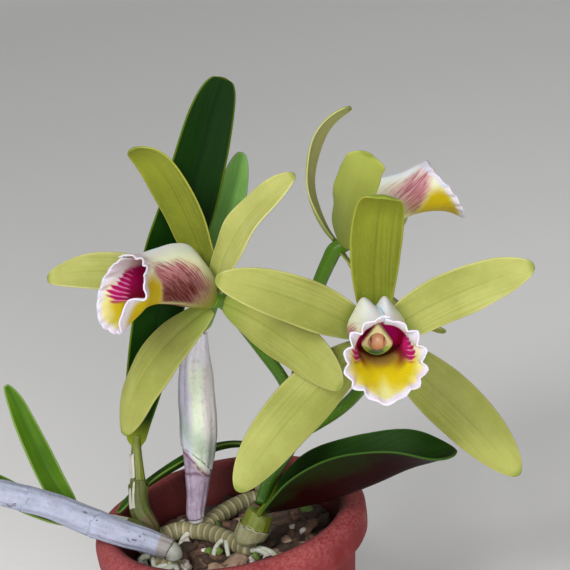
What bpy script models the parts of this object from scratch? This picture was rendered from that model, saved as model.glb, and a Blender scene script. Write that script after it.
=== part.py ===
# A cattleya orchid in bloom, growing in a round clay pot filled with bark.
# Three blooms stand on one flower stem. The leaves rise from swollen stems (pseudobulbs),
# which a creeping rhizome joins in a row. Every size below is in millimetres.
# Axes: +Z up, X across, -Y to the front. The origin is the middle of the pot's foot.

import random
from math import cos, pi, radians, sin

import bmesh
import bpy
import numpy as np

MM = 0.001
GAP = 0.3                   # clearance between pieces that touch

# Pot: a plain clay pot with a thick rounded rim
POT_HEIGHT = 80.0
POT_RIM_RADIUS = 47.0
POT_RIM_DEPTH = 13.0
POT_RIM_WIDTH = 9.0
POT_FOOT_RADIUS = 31.0
POT_FLOOR = 6.0
POT_WALL = 5.5
POT_SIDES = 32
DRAIN_RADIUS = 4.5
DRAIN_RING = 16.0

# Bark mix
BARK_TOP = 67.0             # level of the packed bark, chips stand out of it
BARK_CHIPS = 27
CHIP_SIZE = (13.0, 8.5, 4.5)

# Rhizome and roots, lying half sunk in the bark
RHIZOME_RADIUS = 3.2
RHIZOME_HEIGHT = 70.0
RHIZOME_PATH = [(-20, -15), (-26, -5), (-28, 6), (-20, 12), (-11, 9), (-2, -1), (6, -13)]
RHIZOME_BRANCH = [(-11, 9), (-3, 20), (6, 26), (13, 27)]
ROOTS = 7
ROOT_RADIUS = 1.3
ROOT_REACH = 31.5           # how far from the pot's axis a root may end

# Blades are this thick at the middle and at the edge
TEPAL_THICK = (1.1, 0.62)
LIP_THICK = 0.65
LEAF_THICK = (1.6, 0.8)


def clear_scene():
    for thing in list(bpy.data.objects):
        bpy.data.objects.remove(thing, do_unlink=True)


def material(name, colour, roughness):
    surface = bpy.data.materials.new(name)
    surface.use_nodes = True
    shader = surface.node_tree.nodes["Principled BSDF"]
    shader.inputs["Base Color"].default_value = (*colour, 1.0)
    shader.inputs["Roughness"].default_value = roughness
    shader.inputs["Metallic"].default_value = 0.0
    surface.diffuse_color = (*colour, 1.0)
    return surface


def add_solid(name, points, faces, surface):
    # One closed mesh from points in millimetres, its faces turned outwards
    mesh = bpy.data.meshes.new(name)
    mesh.from_pydata((np.asarray(points) * MM).tolist(), [], faces)
    shape = bmesh.new()
    shape.from_mesh(mesh)
    bmesh.ops.recalc_face_normals(shape, faces=shape.faces)
    shape.to_mesh(mesh)
    shape.free()
    mesh.materials.append(surface)
    mesh.shade_smooth()
    mesh.set_sharp_from_angle(angle=radians(40))
    solid = bpy.data.objects.new(name, mesh)
    bpy.context.scene.collection.objects.link(solid)
    return solid


def unit(vectors):
    vectors = np.asarray(vectors, float)
    return vectors / np.linalg.norm(vectors, axis=-1, keepdims=True)


def distances(points):
    # How far along a line of points each one lies
    return np.r_[0.0, np.cumsum(np.linalg.norm(np.diff(points, axis=0), axis=1))]


def smooth_path(points, steps):
    # A smooth curve (cubic Hermite) through the points, read at fractions of its length
    points = np.asarray(points, float)
    reach = distances(points)
    slope = np.gradient(points, reach, axis=0)
    at = np.asarray(steps) * reach[-1]
    k = np.clip(np.searchsorted(reach, at, side="right") - 1, 0, len(points) - 2)
    span = (reach[k + 1] - reach[k])[:, None]
    t = (at - reach[k])[:, None] / span
    return ((1 + 2 * t) * (1 - t) ** 2 * points[k] + t * (1 - t) ** 2 * span * slope[k]
            + t * t * (3 - 2 * t) * points[k + 1] + t * t * (t - 1) * span * slope[k + 1])


def hill(x, centre, width):
    return np.exp(-((x - centre) / width) ** 2)


def ease(x, low, high):
    # Smooth step from 0 at low to 1 at high
    t = np.clip((x - low) / (high - low), 0, 1)
    return t * t * (3 - 2 * t)


def ring_solid(name, rings, surface):
    # A closed skin over rings of points, with a flat cap at each end
    count, sides = rings.shape[:2]
    index = np.arange(count * sides).reshape(count, sides)
    low, high = index[:-1], index[1:]
    low_next, high_next = np.roll(low, -1, axis=1), np.roll(high, -1, axis=1)
    faces = np.stack([low, low_next, high_next, high], axis=-1).reshape(-1, 4).tolist()
    faces += [index[0][::-1].tolist(), index[-1].tolist()]
    return add_solid(name, rings.reshape(-1, 3), faces, surface)


def carried_sides(along):
    # A direction square to the path, carried along it with no twist
    side = np.cross(along[0], (0.2, -1.0, 0.1))
    sides = []
    for ahead in along:
        side = unit(side - np.dot(side, ahead) * ahead)
        sides.append(side)
    return np.array(sides)


def tube(name, path, radii, sides, surface, grow=0.0):
    # A round stem along a path. grow makes it fatter and longer, for a cutter
    path = np.array(path, float)
    along = unit(np.gradient(path, distances(path), axis=0))
    path[0] -= grow * along[0]
    path[-1] += grow * along[-1]
    side = carried_sides(along)[:, None]
    rise = np.cross(along[:, None], side)
    turn = np.linspace(0, 2 * pi, sides, endpoint=False)[None, :, None]
    radii = (np.broadcast_to(radii, len(path)) + grow)[:, None, None]
    return ring_solid(name, path[:, None] + radii * (np.cos(turn) * side + np.sin(turn) * rise), surface)


def slab(name, middle, thick, surface):
    # A closed blade: two alike faces, half the thickness either side of a grid of points
    down, across = np.gradient(middle, axis=0), np.gradient(middle, axis=1)
    normal = unit(np.cross(down, across))
    offset = normal * thick[..., None] / 2
    rows, cols = middle.shape[:2]
    index = np.arange(rows * cols).reshape(rows, cols)
    a, b, c, d = index[:-1, :-1], index[1:, :-1], index[1:, 1:], index[:-1, 1:]
    front = np.concatenate([np.stack([a, b, c], -1).reshape(-1, 3),
                            np.stack([a, c, d], -1).reshape(-1, 3)])
    border = np.concatenate([index[0], index[1:, -1], index[-1, -2::-1], index[-2:0:-1, 0]])
    beside = np.roll(border, -1)
    back = rows * cols
    wall = np.stack([border, beside, beside + back, border + back], axis=-1)
    faces = front.tolist() + (front[:, ::-1] + back).tolist() + wall.tolist()
    points = np.concatenate([(middle + offset).reshape(-1, 3), (middle - offset).reshape(-1, 3)])
    return add_solid(name, points, faces, surface)


def join(solids):
    # One body from solids that overlap, by a single Boolean union on a collection
    group = bpy.data.collections.new("joined")
    for solid in solids[1:]:
        group.objects.link(solid)
    return carve(solids[0], group, "UNION")


def carve(solid, group, operation):
    # Applies one Boolean on a collection, then removes the collection's objects
    change = solid.modifiers.new(operation.title(), "BOOLEAN")
    change.operation = operation
    change.operand_type = "COLLECTION"
    change.collection = group
    change.solver = "EXACT"
    bpy.context.view_layer.update()
    view = solid.evaluated_get(bpy.context.evaluated_depsgraph_get())
    mesh = bpy.data.meshes.new_from_object(view)
    solid.modifiers.clear()
    solid.data = mesh
    for tool in list(group.objects):
        bpy.data.objects.remove(tool, do_unlink=True)
    bpy.data.collections.remove(group)
    return solid


def keep_largest(solid):
    # Drops the crumbs and the sealed hollows that a union and a cut leave behind
    shape = bmesh.new()
    shape.from_mesh(solid.data)
    waiting = set(shape.verts)
    bodies = []
    while waiting:
        front = [waiting.pop()]
        body = []
        while front:
            vert = front.pop()
            body.append(vert)
            near = [edge.other_vert(vert) for edge in vert.link_edges]
            near = [other for other in near if other in waiting]
            waiting.difference_update(near)
            front += near
        bodies.append(body)
    bodies.sort(key=len)
    loose = [vert for body in bodies[:-1] for vert in body]
    bmesh.ops.delete(shape, geom=loose, context="VERTS")
    shape.to_mesh(solid.data)
    shape.free()
    return solid


def cut(solid, tools):
    group = bpy.data.collections.new("cutters")
    for tool in tools:
        group.objects.link(tool)
    return carve(solid, group, "DIFFERENCE")


# Blooms

# Where each bloom's centre is, and how it faces: turn about Z from the front, tilt of its
# face upwards, and roll of the bloom clockwise as it is faced. The column's lean is how far
# its tip stands to the side
BLOOMS = {
    "front": {"centre": (58.4, -30.0, 145.3), "turn": 0, "tilt": 8, "roll": 10, "size": 1.0, "lean": -1.6},
    "left": {"centre": (8.0, 0.0, 157.0), "turn": -45, "tilt": 22, "roll": -22, "size": 1.08, "lean": 0.0},
    "back": {"centre": (54.9, 24.0, 159.8), "turn": 90, "tilt": 26, "roll": 12, "size": 1.0, "lean": 0.0},
}

# Shapes of the three kinds of tepal: where the width peaks (root and tip powers), how far the
# blade cups, the half widths of its claw and its tip, and its base (out and forward)
TEPAL_KINDS = {
    "dorsal": {"peak": (0.5, 0.34), "cup": 0.16, "claw": 2.4, "tip": 0.7, "base": (2.9, -2.0)},
    "petal": {"peak": (0.45, 0.5), "cup": 0.10, "claw": 1.7, "tip": 0.7, "base": (3.5, -0.4)},
    "lateral": {"peak": (0.55, 0.55), "cup": -0.2, "claw": 2.3, "tip": 0.6, "base": (3.5, -2.0)},
}

# Each tepal: kind, angle in the bloom's face (0 to the viewer's right, 90 up), length, width,
# then in degrees the sweep forward at its root, the bend forward along it, the hook at its
# tip, the sideways curve and the twist
TEPALS = {
    ("front", "sepal_dorsal"): ("dorsal", 91, 56, 16.6, 4, 24, 80, -11, 0),
    ("front", "petal_right"): ("petal", 33, 54, 15.6, 22, -10, 0, -21, -6),
    ("front", "petal_left"): ("petal", 151, 57, 15.5, 26, -12, 0, 23, 6),
    ("front", "sepal_right"): ("lateral", -42, 62, 18.0, 4, -4, 10, -11, 0),
    ("front", "sepal_left"): ("lateral", -134, 65, 18.5, -9, 16, 10, 17, 0),
    ("left", "sepal_dorsal"): ("dorsal", 88, 58, 16.5, 12, 20, 60, 2, 0),
    ("left", "petal_right"): ("petal", 36, 53, 12.6, 26, -50, 0, -21, -6),
    ("left", "petal_left"): ("petal", 150, 62, 13.5, 30, -24, 0, 42, 6),
    ("left", "sepal_right"): ("lateral", -38, 57, 17.5, 6, -20, 10, -28, 0),
    ("left", "sepal_left"): ("lateral", -148, 59, 17.0, 34, -60, 10, 16, 0),
    ("back", "sepal_dorsal"): ("dorsal", 72, 55, 13.5, -11, 96, 30, 0, 0),
    ("back", "petal_right"): ("petal", -8, 54, 15.0, 18, 8, 0, 0, -6),
    ("back", "petal_left"): ("petal", 150, 51.5, 19.0, 27, 14, 0, -6, 44),
    ("back", "sepal_right"): ("lateral", -50, 54, 16.0, -6, 10, 10, 0, 0),
    ("back", "sepal_left"): ("lateral", -129, 50, 15.0, 13, 10, 10, 0, 0),
}
TEPAL_ROWS = 11
TEPAL_COLS = {"dorsal": 5, "petal": 7, "lateral": 5}
# One petal grew unevenly, with a shoulder by its tip. Each hill or dip in the half width of
# one of its sides: which side, its size as a share, its place along the blade and its spread
UNEVEN = {("back", "petal_left"): [(-1, -0.20, 0.42, 0.30), (-1, 0.20, 0.93, 0.07),
                                   (1, -0.18, 0.62, 0.20), (1, 0.35, 0.93, 0.05)]}
UNEVEN_ROWS = 21

# Lip: lines along its side, which all share, and along its floor and its roof. Each point is
# the distance forward from the bloom's centre, then the half width at the side, or the height.
# near runs the edge forward and curl lifts it: by how much, the angle round, the spread and the
# step where it starts. belly drops the lip below a curl: by how much, angle, spread, step, length
LIP_SIDE = [(1.4, 3.4), (5, 7.2), (11, 8.9), (20, 8.2), (27, 8.2), (33, 9.6), (38, 12.3)]
LIPS = {
    "front": {
        "floor": [(1.4, -3.0), (8, -3.6), (16, -2.0), (24, -1.6), (31, -3.6), (37, -7.4), (42.3, -11.0)],
        "roof": [(1.4, 3.2), (5, 9.8), (9.5, 13.6), (14, 14.0), (22, 12.6), (28, 11.5), (31.5, 12.2),
                 (34, 13.9)],
        "hump": 2.5, "hump_step": 0.36, "hump_skew": 7, "shift": -0.9, "vee": 1.6,
        "near": [], "curl": [], "belly": [],
        "ruffle": 0.95, "ruffles": 14, "phase": 68},
    "left": {
        "floor": [(1.4, -2.8), (8, -1.8), (16, -1.0), (24, -1.2), (31, -3.3), (36.5, -6.6), (41, -10.4)],
        "roof": [(1.4, 3.2), (5.2, 10.0), (9.2, 15.2), (15, 16.2), (22, 14.8), (29, 12.8), (35, 12.4)],
        "hump": 1.4, "hump_step": 0.28, "hump_skew": 0, "shift": 0.0, "vee": 0.8,
        "near": [(2.6, 1.6, 0.35, 0.6), (3.8, 0.4, 0.35, 0.8), (-1.1, -1.5, 1.2, 0.6)],
        "curl": [(5.2, 0.62, 0.36, 0.8)], "belly": [(1.6, 0.33, 0.4, 0.93, 0.1)],
        "ruffle": 0.55, "ruffles": 16, "phase": 30},
    "back": {
        "floor": [(1.4, -3.4), (8, -4.6), (16, -4.4), (24, -4.6), (31, -7.4), (36.6, -12.0), (39.8, -16.0)],
        "roof": [(1.4, 3.2), (5, 9.8), (9.5, 13.6), (15, 14.2), (22, 11.9), (29, 8.9), (39.6, 6.8)],
        "hump": 1.4, "hump_step": 0.3, "hump_skew": 0, "shift": 0.0, "vee": 0.8,
        "near": [(3.4, -1.5, 0.9, 0.6)], "curl": [], "belly": [],
        "ruffle": 0.5, "ruffles": 16, "phase": 30},
}
LIP_SEAM = 177              # degrees round from the floor where the rolled edges meet
LIP_ROWS = (0, 0.12, 0.26, 0.38, 0.56, 0.78, 1)
ROLLED_LIP_ROWS = (0, 0.12, 0.26, 0.38, 0.56, 0.76, 0.9, 1)     # for a lip with a belly
LIP_COLS = 53
# Humps either side of the seam: degrees round, then their spread round and along
LIP_HUMP_AT = 157
LIP_HUMP_SPREAD = (0.26, 0.22)
LIP_GROOVE_DEPTH = 2.0

# Column: distance forward, half width and height of its middle line
COLUMN = [(1.2, 2.5, 0.2), (8, 2.7, 2.0), (14, 3.3, 3.6), (18, 4.1, 4.0), (21, 4.3, 3.2),
          (22.6, 3.0, 2.2)]


def bloom_axes(bloom):
    # Right, up and front of a bloom, as seen by someone it faces
    turn, tilt, roll = (radians(bloom[key]) for key in ("turn", "tilt", "roll"))
    right = np.array([cos(turn), sin(turn), 0.0])
    level = np.array([sin(turn), -cos(turn), 0.0])
    up = np.array([0.0, 0.0, cos(tilt)]) - sin(tilt) * level
    front = cos(tilt) * level + np.array([0.0, 0.0, sin(tilt)])
    return cos(roll) * right - sin(roll) * up, sin(roll) * right + cos(roll) * up, front


def tepal_sheet(bloom, tepal, uneven, rows, cols):
    # The midrib starts at the bloom's middle and runs out, its slope growing by the bend.
    # Points lie across it, the blade cupped by the square of the distance from the midrib
    kind, angle, length, width, sweep, bend, hook, sickle, twist = tepal
    shape = TEPAL_KINDS[kind]
    right, up, front = bloom_axes(bloom)
    angle = radians(angle)
    out = cos(angle) * right + sin(angle) * up
    aside = -sin(angle) * right + cos(angle) * up
    u = np.linspace(0, 1, rows)
    slope = radians(sweep) + radians(bend) * u + radians(hook) * u ** 6
    curve = radians(sickle) * (u - 0.3)
    lean = np.cos(curve)[:, None] * out + np.sin(curve)[:, None] * aside
    along = np.cos(slope)[:, None] * lean + np.sin(slope)[:, None] * front
    step = length / (rows - 1)
    root = np.array(bloom["centre"]) + shape["base"][0] * out + shape["base"][1] * front
    middle = root + np.concatenate([[np.zeros(3)], np.cumsum((along[1:] + along[:-1]) / 2, axis=0)]) * step
    flat = np.cos(curve)[:, None] * aside - np.sin(curve)[:, None] * out
    face = np.cross(along, flat)
    spin = (radians(twist) * u)[:, None]
    across, rise = np.cos(spin) * flat + np.sin(spin) * face, np.cos(spin) * face - np.sin(spin) * flat
    root_power, tip_power = shape["peak"]
    peak = root_power / (root_power + tip_power)
    swell = (u / peak) ** root_power * ((1 - u) / (1 - peak)) ** tip_power
    half = np.sqrt((width / 2 * swell) ** 2 + (shape["claw"] * (1 - u) ** 3) ** 2 + shape["tip"] ** 2)
    v = np.linspace(-1, 1, cols)
    reach = half[:, None] * v
    for side, size, place, spread in uneven:
        reach = reach * np.where(v * side > 0, 1 + size * hill(u, place, spread)[:, None], 1)
    lift = shape["cup"] * half[:, None] * v ** 2
    sheet = middle[:, None] + reach[..., None] * across[:, None] + lift[..., None] * rise[:, None]
    thick = TEPAL_THICK[0] + (TEPAL_THICK[1] - TEPAL_THICK[0]) * np.abs(v) * np.ones((rows, 1))
    return sheet, thick


def lip_sheet(bloom, lip, steps, cols):
    # A trumpet round the column. The three lines give its section at each step, an ellipse
    # whose distance forward also varies round it. Its edge may run on or curl, the mid lobe
    # narrows to a vee, two humps stand at the seam and the free edge is ruffled
    right, up, front = bloom_axes(bloom)
    floor, side, roof = (smooth_path(line, steps) for line in (lip["floor"], LIP_SIDE, lip["roof"]))
    turn = np.radians(np.linspace(-LIP_SEAM, LIP_SEAM, cols))[None, :]
    t = np.asarray(steps)[:, None]
    mean = ((floor[:, 0] + roof[:, 0]) / 2)[:, None]
    ahead = (mean + side[:, :1]) / 2 + (floor[:, :1] - roof[:, :1]) / 2 * np.cos(turn) \
        + (mean - side[:, :1]) / 2 * np.cos(2 * turn)
    for size, place, spread, start in lip["near"]:
        ahead = ahead + size * ease(t, start, 1.0) * hill(turn, place, spread)
    wide = side[:, 1:] * np.sin(turn) + lip["shift"] * hill(t, 0.4, 0.3)
    tall = (roof[:, 1:] + floor[:, 1:]) / 2 - (roof[:, 1:] - floor[:, 1:]) / 2 * np.cos(turn)
    tall = tall + lip["vee"] * hill(np.abs(turn), 0.55, 0.32) * ease(t, 0.7, 1.0)
    for size, place, spread, start in lip["curl"]:
        tall = tall + size * ease(t, start, 1.0) * hill(turn, place, spread)
    for size, place, spread, step, length in lip["belly"]:
        tall = tall - size * hill(turn, place, spread) * hill(t, step, length)
    hump_turn = np.radians(LIP_HUMP_AT + lip["hump_skew"] * np.sign(turn))
    hump = hill(t, lip["hump_step"], LIP_HUMP_SPREAD[1]) * hill(np.abs(turn), hump_turn, LIP_HUMP_SPREAD[0])
    groove = hill(t, 0.36, 0.3) * hill(np.abs(turn), pi, 0.2)
    tall = tall + lip["hump"] * hump - LIP_GROOVE_DEPTH * groove
    edge = np.clip((t - 0.7) / 0.3, 0, 1) ** 1.4
    wave = lip["ruffle"] * edge * np.sin(lip["ruffles"] * turn + radians(lip["phase"]))
    swing = 1 + wave / 13
    size = bloom["size"]
    sheet = np.array(bloom["centre"]) + size * (
        (ahead - 1.1 * wave)[..., None] * front + (wide * swing)[..., None] * right
        + (tall * swing)[..., None] * up)
    return sheet, np.full(sheet.shape[:2], LIP_THICK)


def make_column(name, bloom, surface):
    right, up, front = bloom_axes(bloom)
    size = bloom["size"]
    turn = np.linspace(0, 2 * pi, 10, endpoint=False)[None, :, None]
    ahead, half, rise = (np.array(part)[:, None, None] for part in zip(*COLUMN))
    aside = bloom["lean"] * (ahead / ahead[-1]) ** 2
    rings = np.array(bloom["centre"]) + size * (
        ahead * front + (aside + half * np.cos(turn)) * right
        + (rise + half * 0.85 * np.sin(turn)) * up)
    return ring_solid(name, rings, surface)


def make_blooms(surfaces):
    for (place, part), tepal in TEPALS.items():
        uneven = UNEVEN.get((place, part), [])
        rows = UNEVEN_ROWS if uneven else TEPAL_ROWS
        sheet, thick = tepal_sheet(BLOOMS[place], tepal, uneven, rows, TEPAL_COLS[tepal[0]])
        slab(f"bloom_{place}_{part}", sheet, thick, surfaces["tepal"])
    for place, bloom in BLOOMS.items():
        rows = ROLLED_LIP_ROWS if LIPS[place]["belly"] else LIP_ROWS
        sheet, thick = lip_sheet(bloom, LIPS[place], rows, LIP_COLS)
        slab(f"bloom_{place}_lip", sheet, thick, surfaces["lip"])
        make_column(f"bloom_{place}_column", bloom, surfaces["column"])


# Flower stem: the peduncle from the front pseudobulb, and a flower stalk to each bloom
STEM_FORK = (28.0, 6.0, 101.0)
PEDUNCLE = [(12.0, -10.3, 85.3), (15.6, -4.6, 90.2), (22.0, 1.0, 95.5), STEM_FORK]
STALKS = {
    "front": [STEM_FORK, (36, 7, 103.5), (44, 3, 109), (51, -3, 117), (56, -11, 128), (59, -20, 139)],
    "left": [STEM_FORK, (29, 11, 109), (26.5, 15, 118), (21.5, 16, 129), (17, 13, 140), (14, 8, 149)],
    "back": [STEM_FORK, (30, 12, 110), (33, 18, 124), (38.6, 23, 137), (44.4, 25, 147), (49, 24.5, 154.6)],
}
STEM_RADIUS = 2.3
OVARY_RADIUS = 2.9


def stalk_path(place):
    # From the fork to the back of the bloom, which it meets square on
    bloom = BLOOMS[place]
    centre, front = np.array(bloom["centre"]), bloom_axes(bloom)[2]
    return np.array(STALKS[place] + [tuple(centre - 4 * front), tuple(centre + 0.6 * front)])


def make_flower_stem(surface):
    pieces = [tube("flower_stem", smooth_path(PEDUNCLE, np.linspace(0, 1, 7)), STEM_RADIUS, 8, surface)]
    for place in STALKS:
        steps = np.linspace(0, 1, 10)
        radii = STEM_RADIUS - 0.2 + (OVARY_RADIUS - STEM_RADIUS + 0.2) * steps ** 3
        pieces.append(tube("stalk", smooth_path(stalk_path(place), steps), radii, 8, surface))
    return join(pieces)


# Leaves: the midrib's places, width, where the width peaks, fold (how steeply each half
# rises from the midrib, in degrees), and the direction that the upper face looks at each end
LEAVES = {
    "leaf_tall": {
        "midrib": [(-27.6, 19, 102.3), (-26.4, 19.6, 108), (-21.5, 21, 122), (-14, 23, 142), (-3, 27, 168),
                   (4, 29, 180), (12, 31, 197), (19.5, 33, 213), (24.5, 34, 222)],
        "width": 19.5, "peak": (0.5, 0.3), "fold": 14, "root": 1.8,
        "face": [(0.2, -1, 0.2), (0.1, -1, 0.1)]},
    "leaf_back": {
        "midrib": [(1.9, 24.1, 138.6), (6.5, 27, 151), (12, 31, 164), (19, 35, 178), (23, 37, 187),
                   (26, 38, 194)],
        "width": 12.0, "peak": (0.5, 0.45), "fold": 16, "root": 1.7,
        "face": [(0, -1, 0.3), (0, -1, 0.2)]},
    "leaf_left_upper": {
        "midrib": [(-53.8, 7.1, 87.9), (-58.0, 10, 98), (-61.2, 13, 109), (-63.9, 16, 119), (-66.0, 19, 127),
                   (-67.7, 20, 132)],
        "width": 9.4, "peak": (0.34, 0.5), "fold": 24, "root": 2.0,
        "face": [(0.4, -1, 0.3), (0.3, -1, 0.3)]},
    "leaf_left_lower": {
        "midrib": [(-55.0, 2.8, 86.3), (-61, 0.8, 90.5), (-69, 0.4, 97.0), (-77, 1.2, 105),
                   (-84, 2.0, 112.5)],
        "width": 10.0, "peak": (0.45, 0.5), "fold": 20, "root": 2.0,
        "face": [(0.4, -0.5, 0.9), (0.4, -0.5, 0.9)]},
    "leaf_front": {
        "midrib": [(12.5, -15.2, 85.0), (25, -19, 86.5), (38.5, -24, 90), (51, -29, 95), (63, -33, 100),
                   (72, -36, 102.5), (78, -38, 104.5)],
        "width": 40.0, "peak": (0.45, 0.62), "fold": 66, "root": 2.4,
        "face": [(-0.2, 0.1, 1), (-0.2, 0.1, 1)]},
    "leaf_rim": {
        "midrib": [(14.5, 30, 87.5), (5, 32, 89.5), (-7.5, 31, 88.5), (-19, 27, 86), (-28.6, 21, 84),
                   (-34.5, 15.5, 82.6), (-38.2, 11.2, 81.2)],
        "width": 9.0, "peak": (0.4, 0.5), "fold": 30, "root": 2.0,
        "face": [(0, 0.3, 1), (0, 0.35, 1)]},
}
LEAF_ROWS = 11
LEAF_COLS = 7
LEAF_TIP = 0.8              # half width at the tip
KEEL = 0.12                 # how rounded the fold is, as a share of the half width


def leaf_sheet(leaf, rows, cols):
    # Points across a smooth midrib, each half rising by the fold angle, rounded at the keel
    u = np.linspace(0, 1, rows)
    middle = smooth_path(leaf["midrib"], u)
    along = unit(np.gradient(middle, axis=0))
    first, last = (unit(face) for face in leaf["face"])
    face = (1 - u)[:, None] * first + u[:, None] * last
    face = unit(face - np.sum(face * along, axis=1)[:, None] * along)
    across = np.cross(face, along)
    root_power, tip_power = leaf["peak"]
    peak = root_power / (root_power + tip_power)
    swell = (u / peak) ** root_power * ((1 - u) / (1 - peak)) ** tip_power
    half = np.sqrt((leaf["width"] / 2 * swell) ** 2 + (leaf["root"] * (1 - u) ** 4) ** 2 + LEAF_TIP ** 2)
    v = np.linspace(-1, 1, cols)
    fold = radians(leaf["fold"]) * ((1 - u ** 6) * (1 - (1 - u) ** 6))[:, None]
    lift = half[:, None] * np.sin(fold) * (np.sqrt(v ** 2 + KEEL ** 2) - KEEL)
    reach = half[:, None] * np.cos(fold) * v
    sheet = middle[:, None] + reach[..., None] * across[:, None] + lift[..., None] * face[:, None]
    rib = (1 - np.abs(v) ** 0.7) * (1 - u ** 3)[:, None]
    thick = LEAF_THICK[1] + (LEAF_THICK[0] - LEAF_THICK[1]) * rib
    return sheet, thick


def make_leaves(surface):
    for name, leaf in LEAVES.items():
        sheet, thick = leaf_sheet(leaf, LEAF_ROWS, LEAF_COLS)
        slab(name, sheet, thick, surface)


# Pseudobulbs: the path of each from the rhizome up to its leaves, and the radii along it
PSEUDOBULBS = {
    "pseudobulb_tall": {
        "path": [(-28, 6, 73.6), (-28, 6, 75.5), (-30.3, 8.5, 82), (-29.2, 14, 91), (-27.9, 18.8, 101.5)],
        "radii": [2.6, 2.8, 3.0, 2.4, 1.7]},
    "pseudobulb_white": {
        "path": [(-11.9, 10, 73.6), (-11.9, 10, 75.5), (-10.2, 12.5, 82), (-9.0, 14.4, 87.2),
                 (-7.4, 16.6, 94), (-6.0, 18.2, 101.5), (-4.9, 19.6, 108.5), (-4.4, 20.5, 114),
                 (-3.2, 22, 122), (-2.1, 22.9, 128.7), (-0.5, 23.5, 133.4), (1.2, 24, 138)],
        "radii": [2.4, 2.6, 3.1, 3.8, 4.9, 5.8, 5.75, 5.7, 5.35, 4.5, 3.1, 1.6]},
    "pseudobulb_front": {
        "path": [(6, -13, 73.6), (6, -13, 75.2), (8.5, -13, 79), (11.5, -12.5, 84)],
        "radii": [3.4, 4.6, 5.0, 4.6]},
    "pseudobulb_back": {
        "path": [(13, 27, 73.6), (13, 27, 75.2), (14.2, 28.5, 80), (14.6, 30, 86.2)],
        "radii": [2.8, 3.4, 3.2, 2.4]},
    "pseudobulb_left": {
        "path": [(-27, -3, 73.6), (-27, -3, 75.2), (-30.5, -2.4, 79.6), (-38, -1.0, 82.9),
                 (-46, 1.8, 84.4), (-52.6, 5.2, 86.6)],
        "radii": [2.6, 2.6, 2.4, 2.3, 2.5, 3.0]},
    "pseudobulb_silver": {
        "path": [(-20, -15, 73.6), (-20, -15, 75.2), (-26, -13, 79.2), (-35, -11.2, 83.4),
                 (-46, -9.2, 89.5), (-57, -8, 96.6), (-73.5, -7, 104.8), (-84, -6.5, 110.2)],
        "radii": [2.8, 3.0, 3.5, 4.1, 4.4, 4.1, 3.9, 2.2]},
}
BULB_SIDES = 12
BULB_RINGS = 11


def bulb(name, surface, grow=0.0):
    # The first two rings lie close together, so that the foot is level
    shape = PSEUDOBULBS[name]
    points = np.array(shape["path"], float)
    reach = distances(points)
    steps = np.r_[0.0, np.linspace(reach[1] / reach[-1], 1, BULB_RINGS - 1)]
    path = smooth_path(points, steps)
    radii = np.interp(steps, reach / reach[-1], shape["radii"])
    return tube(name, path, radii, BULB_SIDES, surface, grow)


def rhizome_pieces(surface, grow=0.0):
    pieces = []
    for line in (RHIZOME_PATH, RHIZOME_BRANCH):
        places = [(x, y, RHIZOME_HEIGHT) for x, y in line]
        steps = np.linspace(0, 1, 3 * len(line))
        pieces.append(tube("rhizome", smooth_path(places, steps), RHIZOME_RADIUS, 8, surface, grow))
    draw = random.Random(5)
    for turn in range(ROOTS):
        base = np.array(RHIZOME_PATH[turn % len(RHIZOME_PATH)], float)
        angle = np.arctan2(base[1], base[0]) + draw.uniform(-0.9, 0.9)
        span = draw.uniform(9, 14)
        end = base + span * np.array([cos(angle), sin(angle)])
        end *= min(1.0, ROOT_REACH / np.linalg.norm(end))
        places = [(*(base + (end - base) * share), RHIZOME_HEIGHT + height)
                  for share, height in ((0, 0), (0.35, 0.6), (0.75, -0.6), (1.0, -5.0))]
        path = smooth_path(places, np.linspace(0, 1, 6))
        pieces.append(tube("root", path, ROOT_RADIUS, 6, surface, grow))
    return pieces


def turned(name, profile, surface):
    # A solid turned about Z from a line of radius and height, a flat disc closing each end
    turn = np.linspace(0, 2 * pi, POT_SIDES, endpoint=False)
    rings = [[(radius * cos(angle), radius * sin(angle), height) for angle in turn]
             for radius, height in profile]
    return ring_solid(name, np.array(rings), surface)


def inner_radius(height):
    # Radius of the pot's inner wall, which slopes from the floor to the rim
    low = POT_FOOT_RADIUS - POT_WALL + 1
    high = POT_RIM_RADIUS - POT_RIM_WIDTH
    return low + (high - low) * (height - POT_FLOOR) / (POT_HEIGHT - POT_FLOOR)


def make_pot(surface):
    # The line runs from the foot's edge up the outside, over the rounded rim, down the inside
    lip = POT_RIM_WIDTH / 2
    under = POT_HEIGHT - POT_RIM_DEPTH
    crown = [(POT_RIM_RADIUS - lip + lip * cos(angle), POT_HEIGHT - lip + lip * sin(angle))
             for angle in np.linspace(0, pi, 6)]
    outside = [(POT_FOOT_RADIUS, 0), (POT_FOOT_RADIUS + 0.8, 1.2), (POT_RIM_RADIUS - 5.0, under - 1.5),
               (POT_RIM_RADIUS - 3.0, under), (POT_RIM_RADIUS - 0.4, under + 2)]
    inside = [(inner_radius(POT_FLOOR + 2), POT_FLOOR + 2), (inner_radius(POT_FLOOR) - 2, POT_FLOOR)]
    pot = turned("pot", outside + crown + inside, surface)
    drains = []
    for quarter in range(4):
        angle = pi / 4 + quarter * pi / 2
        x, y = DRAIN_RING * cos(angle), DRAIN_RING * sin(angle)
        path = [(x, y, -2), (x, y, 3), (x, y, POT_FLOOR + 2)]
        drains.append(tube("drain", path, DRAIN_RADIUS, 12, surface))
    return cut(pot, drains)


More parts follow.
